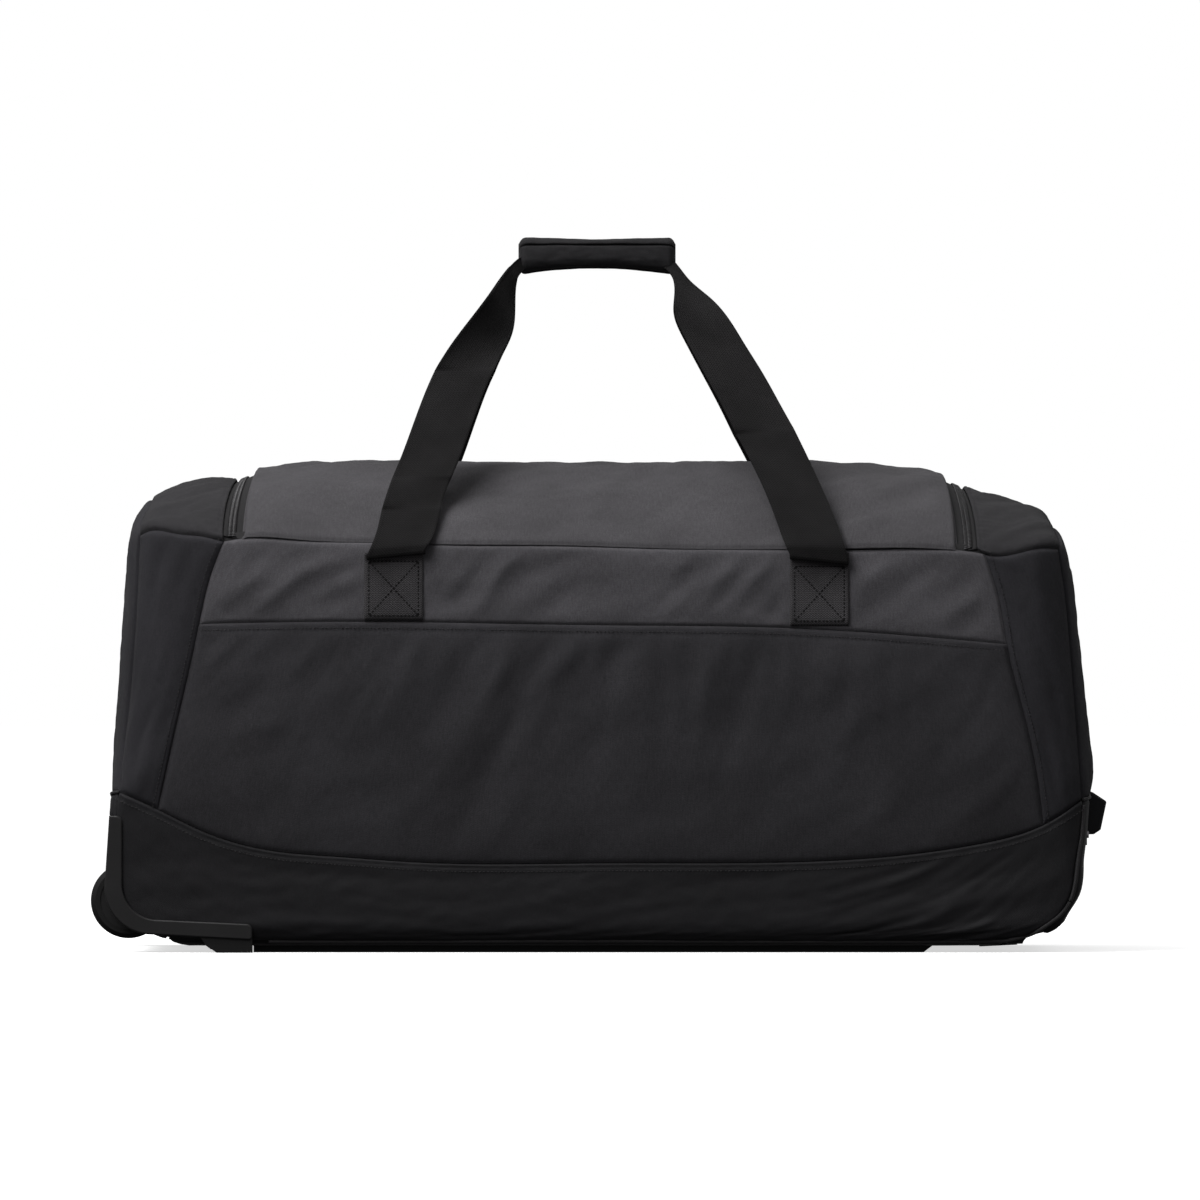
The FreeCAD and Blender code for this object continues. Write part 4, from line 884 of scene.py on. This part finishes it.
parts = Parts()
p, normal, place = patch(hinge_lid, lid_top[corner_at:len(lid_top) - corner_at], lid_top[:corner_at + 1],
                         lid_top[len(lid_top) - 1 - corner_at:][::-1], puff=1.6, wrinkle=lid_folds, seed=111,
                         field=above_lid, sides={"left": proud, "right": proud, "top": proud})
parts.grid(p, place, normal)
lid_cloth = parts.make("lid_cloth", cloth_lid, "shell_fabric", None, ["lid_panel"], CLOTH)
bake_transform(lid_cloth)


# ------------------------------------------------------------------ zip

def zip_edges(half_x, top_y, corner, count):
    """The zip's edge on the body and its edge on the lid."""
    line = outline(half_x, top_y, corner, -181.0, count)
    tangent = unit(np.gradient(line, axis=0))
    away = np.column_stack([-tangent[:, 1], tangent[:, 0]])
    inner = line - 6 * away
    return on_top(*(line + 9 * away).T), np.column_stack([inner, lid_height(*inner.T)])


body_edge, lid_edge = zip_edges(310.0, 115.5, 73.0, 500)
body_edge[:, 2] -= 1.2
lid_edge[:, 2] -= 5.0
for name, low, high, body, nodes in (("zip_tape_outer", 0.0, 0.52, "bag", ["zip_tape_body"]),
                                     ("zip_tape_lid", 0.48, 1.55, "lid", [])):
    strip = np.stack([body_edge * (1 - t) + lid_edge * t for t in np.linspace(low, high, 5)])
    uv = np.stack(np.broadcast_arrays(np.linspace(0, 8, 5)[:, None], lengths(strip[0])), -1)
    parts = Parts()
    parts.grid(strip, uv, np.broadcast_to([0, 0, 1], strip.shape))
    parts.make(name, tape_cloth, "zip_tape", body, nodes, TAPE)


def bead(sides, rings):
    """Rounded unit bar along its first axis, from -1 to 1, half a unit thick."""
    verts, faces = [], []
    for i in range(rings + 1):
        t = -1 + 2 * i / rings
        r = 0.5 * math.sqrt(max(1 - abs(t) ** 4, 0.02))
        verts += [(t, r * math.cos(2 * math.pi * k / sides), r * math.sin(2 * math.pi * k / sides))
                  for k in range(sides)]
    for i in range(rings):
        for k in range(sides):
            n = (k + 1) % sides
            faces.append((i * sides + k, i * sides + n, (i + 1) * sides + n, (i + 1) * sides + k))
    faces += [tuple(range(sides))[::-1], tuple(rings * sides + k for k in range(sides))]
    return np.array(verts), faces


BEAD = bead(6, 4)


def beads(parts, places, axes, size, plan):
    """Bars at places, with three directions each; half length, width and height in mm; plan is their uv's axes."""
    verts, faces = BEAD
    for at, first, second, third in zip(places, *axes):
        bar = at + verts @ np.stack([first * size[0], second * size[1], third * size[2]])
        parts.put(bar, faces, bar[:, plan])


TOOTH_PITCH = 2.3
middle = body_edge * 0.5 + lid_edge * 0.5
count = int(lengths(middle)[-1] / TOOTH_PITCH)
for name, phase, way, body, node in (("zip_teeth_outer", 0.0, -1, "bag", "zip_chain_body"),
                                     ("zip_teeth_lid", 0.5, 1, "lid", "zip_chain_lid")):
    t = (np.arange(count) + phase) / count
    a, b, m = along(body_edge, t), along(lid_edge, t), along(middle, t)
    across = unit(b - a)
    tangent = unit(np.gradient(m, axis=0))
    up = unit(np.cross(across, tangent))
    up = up * np.sign(up[:, 2:3])
    parts = Parts()
    beads(parts, m + across * way * 1.7 + up * 0.9, (across, tangent, up), (2.3, 1.5, 1.7), [0, 1])
    parts.make(name, coil, "zip_chain", body, [node])


# ------------------------------------------------------------------ stitches and welts

def offset_line(seam, shift, lift):
    """A line beside a seam, on the surface, shifted in mm to the left of its run as seen from outside."""
    side = np.cross(unit(normals(seam)), unit(np.gradient(seam, axis=0)))
    moved = settle(seam + unit(side) * shift)
    return moved + unit(normals(moved)) * lift


def stitch_rows(name, rows, pitch=3.4, size=(1.15, 0.9, 0.7), slot="shell_fabric", finish=thread):
    """Topstitching: a bead for every stitch of each row."""
    parts = Parts()
    for row in rows:
        count = max(2, int(lengths(row)[-1] / pitch))
        at = along(row, (np.arange(count) + 0.5) / count)
        tangent, up = unit(np.gradient(at, axis=0)), unit(normals(at))
        beads(parts, at, (tangent, np.cross(up, tangent), up), size, [0, 2])
    parts.make(name, finish, slot, "bag")


def cord(parts, line, radius, sides=8):
    """Round cord along a polyline, closed at both ends."""
    tangent = unit(np.gradient(line, axis=0))
    ref = np.where(np.abs(tangent[:, 2:3]) > 0.9, [[1.0, 0, 0]], [[0, 0, 1.0]])
    a = unit(np.cross(tangent, ref))
    b = np.cross(tangent, a)
    turn = np.linspace(0, 2 * math.pi, sides, endpoint=False)
    ring = a[:, None] * np.cos(turn)[None, :, None] + b[:, None] * np.sin(turn)[None, :, None]
    uv = np.stack(np.broadcast_arrays(lengths(line)[:, None], np.arange(sides) * radius * 2 * math.pi / sides), -1)
    end = len(line) * sides
    caps = [list(range(sides))[::-1], list(range(end - sides, end))]
    faces = grid_faces(len(line), sides, close=True).tolist() + caps
    parts.put((line[:, None] + radius * ring).reshape(-1, 3), faces, uv.reshape(-1, 2))


SEAM_ROWS = ((welt_seam, -5.5, 2.9), (boot_seam, -6.5, 2.0), (left_slant, 4.5, 1.7), (right_slant, -4.5, 1.7))
stitch_rows("topstitching", [offset_line(mirror(seam)[::-1] if far else seam, shift, lift)
                             for far in (False, True) for seam, shift, lift in SEAM_ROWS])

WELT_R = 1.5
parts = Parts()
loop = np.vstack([along(boot_low, np.linspace(0.12, 1, 160))[:-1], along(boot_right, np.linspace(0, 0.97, 120))])
loop = loop + unit(normals(loop)) * 0.6
corner = between(right_boot_top, -190, -104, 1)
for far in (False, True):
    cord(parts, on_side(loop, far), WELT_R + 0.2)
    cord(parts, on_side(corner, far), WELT_R)
cord(parts, left_boot_top, WELT_R)
parts.make("boot_welt_piping", cloth_piping, "piping", "bag", ["boot_piping"])


# ------------------------------------------------------------------ handles

PIVOT_Y, PIVOT_Z, GRIP_Y, GRIP_Z = 195.0, 343.0, 6.8, 590.0
WEB_HALF, WEB_THICK, FOLD = 25.0, 1.7, 2.2
strap_edges = {
    "left": ([(-197.5, 336), (-193, 346), (-182, 382), (-170, 416.5), (-150, 472), (-126, 516),
              (-95, 557), (-83, 575), (-70, 590), (-55, 598)],
             [(-147.5, 341), (-142, 349), (-134, 382), (-120, 416.5), (-99.5, 472), (-83, 511),
              (-73.5, 541), (-73, 566), (-68, 578), (-52, 587)]),
    "right": ([(211.5, 331.5), (208, 346), (196, 376), (179, 415), (156, 458), (139, 489), (119, 522),
               (94, 555.5), (75.5, 571.5), (65, 585), (52, 598)],
              [(159, 337), (154.5, 346), (145, 376), (127.5, 415), (110, 452), (96, 479), (73, 521.5),
               (63.5, 549), (64.5, 565), (61, 577), (48, 587)]),
}


def strap_depth(z):
    """How far back the strap lies at a height: folded out at its foot, then straight up to the grip."""
    lean = (z - PIVOT_Z) / (GRIP_Z - PIVOT_Z)
    y = -PIVOT_Y + np.clip(lean, -0.1, 1.1) * (PIVOT_Y - GRIP_Y)
    return y - 1.5 * np.exp(-((z - 346) / 8) ** 2) + 6 * np.clip((PIVOT_Z - z) / 10, 0, 1)


def strap_ribbon(side):
    """Webbing that follows its two edges in front view and turns edge-on where they close up."""
    outer, inner = (np.array(line, float) for line in strap_edges[side])
    t = lengths((outer + inner) / 2)
    outer, inner = (smooth(line, 170, t) for line in (outer, inner))
    middle, half = (outer + inner) / 2, (outer - inner) / 2
    centre = np.column_stack([middle[:, 0], strap_depth(middle[:, 1]), middle[:, 1]])
    flat = np.column_stack([half[:, 0], np.zeros(len(half)), half[:, 1]])
    gather = np.clip((middle[:, 1:2] - 548) / 32, 0, 1)
    room = WEB_HALF * (1 - 0.76 * gather * gather * (3 - 2 * gather))
    seen = np.linalg.norm(half, axis=1, keepdims=True)
    cosine = np.clip(seen / (room - 0.7), 0.05, 1)
    back = np.array([[0.0, 1.0, 0.0]])
    turn = np.sqrt(1 - cosine ** 2) * (-1 if side == "left" else 1)
    width = (unit(flat) * cosine + back * turn) * room / WEB_HALF
    theta = np.linspace(0, math.pi, 10)[:-1, None]
    start = centre[0] + np.array([0, 2 * FOLD, 0])
    curl = start + FOLD * np.concatenate([0 * theta, np.cos(theta) - 1, -1.4 * np.sin(theta)], 1)
    centre = np.vstack([curl, centre])
    width = np.vstack([np.repeat(width[:1], len(theta), 0), width])
    face = unit(np.cross(unit(np.gradient(centre, axis=0)), width))
    return centre, width, face


def web_section():
    """Places across the webbing, with the raised height of its selvedges."""
    c = np.array([-1, -0.985, -0.93, -0.86, -0.8, -0.5, -0.2, 0.2, 0.5, 0.8, 0.86, 0.93, 0.985, 1])
    ridge = 0.35 * np.exp(-((np.abs(c) - 0.93) / 0.05) ** 2) - 0.4 * (np.abs(c) > 0.99)
    return c, ridge


def strap_into(parts, side, far):
    centre, width, face = strap_ribbon(side)
    c, ridge = web_section()
    s = lengths(centre)
    sag = 0.5 * noise(s / 60, s * 0, 5 if side == "left" else 6)
    for way in (1, -1):
        p = centre[:, None] + width[:, None] * (c * WEB_HALF)[None, :, None]
        p = p + face[:, None] * (way * (WEB_THICK / 2 + ridge)[None, :] + sag[:, None])[..., None]
        n = np.broadcast_to(face[:, None] * way, p.shape)
        parts.grid(on_side(p, far), np.stack(np.broadcast_arrays(c * WEB_HALF, s[:, None]), -1), on_side(n, far))


for hand in ("near", "far"):
    parts = Parts()
    for side in ("left", "right"):
        strap_into(parts, side, hand == "far")
    parts.make(hand + "_strap_web", strap_web, "webbing", hand + "_handle", [hand + "_handle_strap"])

# strap feet, stitched down with a box and a cross
FEET = {"left": (-199.5, -149.5, 281.0), "right": (160.5, 210.5, 276.5)}
PATCH_TOP, BOX_EDGE, BOX_HIGH, PATCH_RISE = 338.0, 4, 50, 3.6
for hand, far in (("near", False), ("far", True)):
    parts, stitching = Parts(), []
    for x0, x1, z0 in FEET.values():
        c, ridge = web_section()
        xs = (x0 + x1) / 2 + c * (x1 - x0) / 2
        zs = np.linspace(z0, PATCH_TOP, 34)
        place = np.stack(np.broadcast_arrays(xs, zs[:, None]), -1)
        on = on_front(xs, zs[:, None])
        n = unit(normals(on))
        rise = np.minimum(PATCH_RISE, 1.2 + (zs - z0) * 0.8)[:, None] + ridge[None, :]
        rise = rise + 3.0 * np.exp(-((zs - PATCH_TOP) / 4.5) ** 2)[:, None] - 3.0 * (np.abs(c) > 0.99)[None, :]
        dent = 0.45 * sum(np.exp(-((zs - z0 - up) / 1.4) ** 2) for up in (BOX_EDGE, BOX_HIGH))[:, None]
        parts.grid(on_side(on + n * (rise - dent)[..., None], far), place, on_side(n, far))
        (left, right), (low, high) = (x0 + BOX_EDGE, x1 - BOX_EDGE), (z0 + BOX_EDGE, z0 + BOX_HIGH)
        corners = np.array([(left, low), (right, low), (right, high), (left, high)])
        for a, b in ((0, 1), (1, 2), (2, 3), (3, 0), (0, 2), (1, 3)):
            row = on_front(*along(corners[[a, b]], np.linspace(0, 1, 40)).T)
            stitching.append(on_side(row + unit(normals(row)) * (PATCH_RISE + 0.1), far))
    parts.make(hand + "_strap_feet", patch_web, "webbing", "bag", [hand + "_strap_patches"], 1.0)
    stitch_rows(hand + "_box_stitching", stitching, pitch=3.2, size=(1.2, 1.3, 0.8), slot="webbing",
                finish=dark_thread)


# padded grip
WRAP_LEFT, WRAP_RIGHT = -69.7, 64.6
GRIP_LOW, GRIP_TOP, GRIP_HALF_Y, GRIP_REACH, SQUARENESS = 577.4, 606.9, 14.0, 15.2, 0.72


def grip_half(hand):
    """One half of the grip as a padded sleeve: the near one tucks in, the far one laps over it with a bowed lip."""
    near = hand == "near"
    rows, cols, grow = 72, 46, 0.0 if near else 1.9
    s = np.linspace(0, 1, rows)
    x = WRAP_LEFT + (WRAP_RIGHT - WRAP_LEFT) * s
    end = np.minimum(s, 1 - s) * (WRAP_RIGHT - WRAP_LEFT)
    full = np.sqrt(np.clip(1 - np.clip(1 - end / 6.5, 0, 1) ** 2.4, 0.16, 1))
    arch = 1 - (2 * s - 1) ** 2
    dip = 1.3 * np.exp(-((s - 0.5) / 0.3) ** 2) - 0.5 * np.exp(-((s - 0.07) / 0.05) ** 2)
    straight = np.radians(np.linspace(-92, 62, cols) if near else np.linspace(272, 32, cols))
    out, normal = np.zeros((rows, cols, 3)), np.zeros((rows, cols, 3))
    for i in range(rows):
        turn = straight
        if not near:
            bow = 8 * arch[i] + 3 * float(noise(np.array([s[i] * 6]), np.array([0.0]), 139)[0])
            turn = straight + np.radians(bow) * np.linspace(0, 1, cols) ** 4
        top, low = GRIP_TOP - dip[i], GRIP_LOW + 5.6 * arch[i]
        c, d = -np.cos(turn), np.sin(turn)
        cy, cz = (np.sign(v) * np.abs(v) ** SQUARENESS for v in (c, d))
        lump = 0.7 * noise(x[i] / 22 + 0 * turn, turn * 1.6, 131)
        lump = lump + 0.25 * noise(x[i] / 8 + 0 * turn, turn * 4, 133)
        lump = lump - (2.2 * np.clip((turn - 0.42) / 0.25, 0, 1) if near else 0)
        out[i, :, 0] = x[i]
        out[i, :, 1] = cy * (GRIP_HALF_Y + grow + lump) * full[i]
        out[i, :, 2] = (top + low) / 2 + cz * ((top - low) / 2 + grow * 0.7 + lump * 0.5) * (0.4 + 0.6 * full[i])
        normal[i, :, 1], normal[i, :, 2] = c, d
    out[..., 1] = np.clip(out[..., 1], -GRIP_REACH, GRIP_REACH)
    lip = np.arange(cols)[::-1]
    lip = np.minimum(lip, lip[::-1]) if near else lip
    out = out - unit(normal) * np.exp(-(lip / 1.2) ** 2)[None, :, None]
    parts = Parts()
    parts.grid(out, np.stack(np.broadcast_arrays(x[:, None], straight * 15.0), -1), normal)
    made = parts.make("grip_pad_" + hand, grip_cloth, "grip_fabric", hand + "_handle", ["grip_wrap_" + hand], 3.2)


grip_half("near")
grip_half("far")


# ------------------------------------------------------------------ floor, light and camera

def stage_floor(half=30.0):
    n = Nodes("pale_floor")
    grain = n.noise(n.add("TexCoord")["Object"], 3.0, 4.0)
    pale = n.finish((0.9, 0.9, 0.9), n.vary(grain, 0.3, 0.7, 0.01), 0.6, grain, 0.02, 0.001, Emission_Strength=0.62,
                    Specular_IOR_Level=0.0, Emission_Color=(1, 1, 1, 1))
    mesh = bpy.data.meshes.new("floor")
    mesh.from_pydata([(-half, -half, 0), (half, -half, 0), (half, half, 0), (-half, half, 0)], [], [(0, 1, 2, 3)])
    mesh.materials.append(pale)
    made = added("floor", mesh)
    made.visible_diffuse = made.visible_glossy = False


def softbox(name, place, target, size, power):
    data = bpy.data.lights.new(name, "AREA")
    data.shape, data.size, data.size_y, data.energy = "RECTANGLE", size[0], size[1], power
    made = added(name, data)
    made.location = place
    made.rotation_euler = (Vector(target) - made.location).to_track_quat("-Z", "Y").to_euler()


stage_floor()
softbox("top_softbox", (-0.8, -0.7, 2.1), (-0.1, 0, 0.3), (1.4, 1.2), 48)
softbox("front_softbox", (-1.7, -2.7, 2.3), (0, 0, 0.25), (1.6, 1.2), 62)

# the world is white to the camera; its light on the bag falls from above
scene = bpy.context.scene
sky = Nodes("studio", bpy.data.worlds, "Background")
scene.world = sky.owner
sky.shader.inputs["Color"].default_value = (1, 1, 1, 1)
sky.shader.inputs["Strength"].default_value = 1.0
height = sky.add("SeparateXYZ", {}, Vector=sky.add("TexCoord")["Generated"])["Z"]
dim = sky.add("Background", {}, Strength=sky.ramp(height, -0.7, 0.9, 0.05, 0.75))[0]
seen = sky.add("LightPath")["Is Camera Ray"]
light = sky.add("MixShader", {}, i0=seen, i1=dim, i2=sky.shader.outputs[0])[0]
sky.tree.links.new(light, sky.tree.nodes["World Output"].inputs["Surface"])
scene.view_settings.view_transform = "Standard"

# a long lens: FIELD metres across the frame at the plane y = MATCH_Y
LENS, SENSOR, FIELD, MATCH_Y, AIM_Z = 600.0, 36.0, 1.02, -0.10, 0.29835
camera_data = bpy.data.cameras.new("camera")
camera_data.lens, camera_data.sensor_width, camera_data.clip_end = LENS, SENSOR, 200.0
camera = added("camera", camera_data)
camera.location = (0, MATCH_Y - FIELD * LENS / SENSOR, AIM_Z)
camera.rotation_euler = (math.pi / 2, 0, 0)
scene.camera = camera
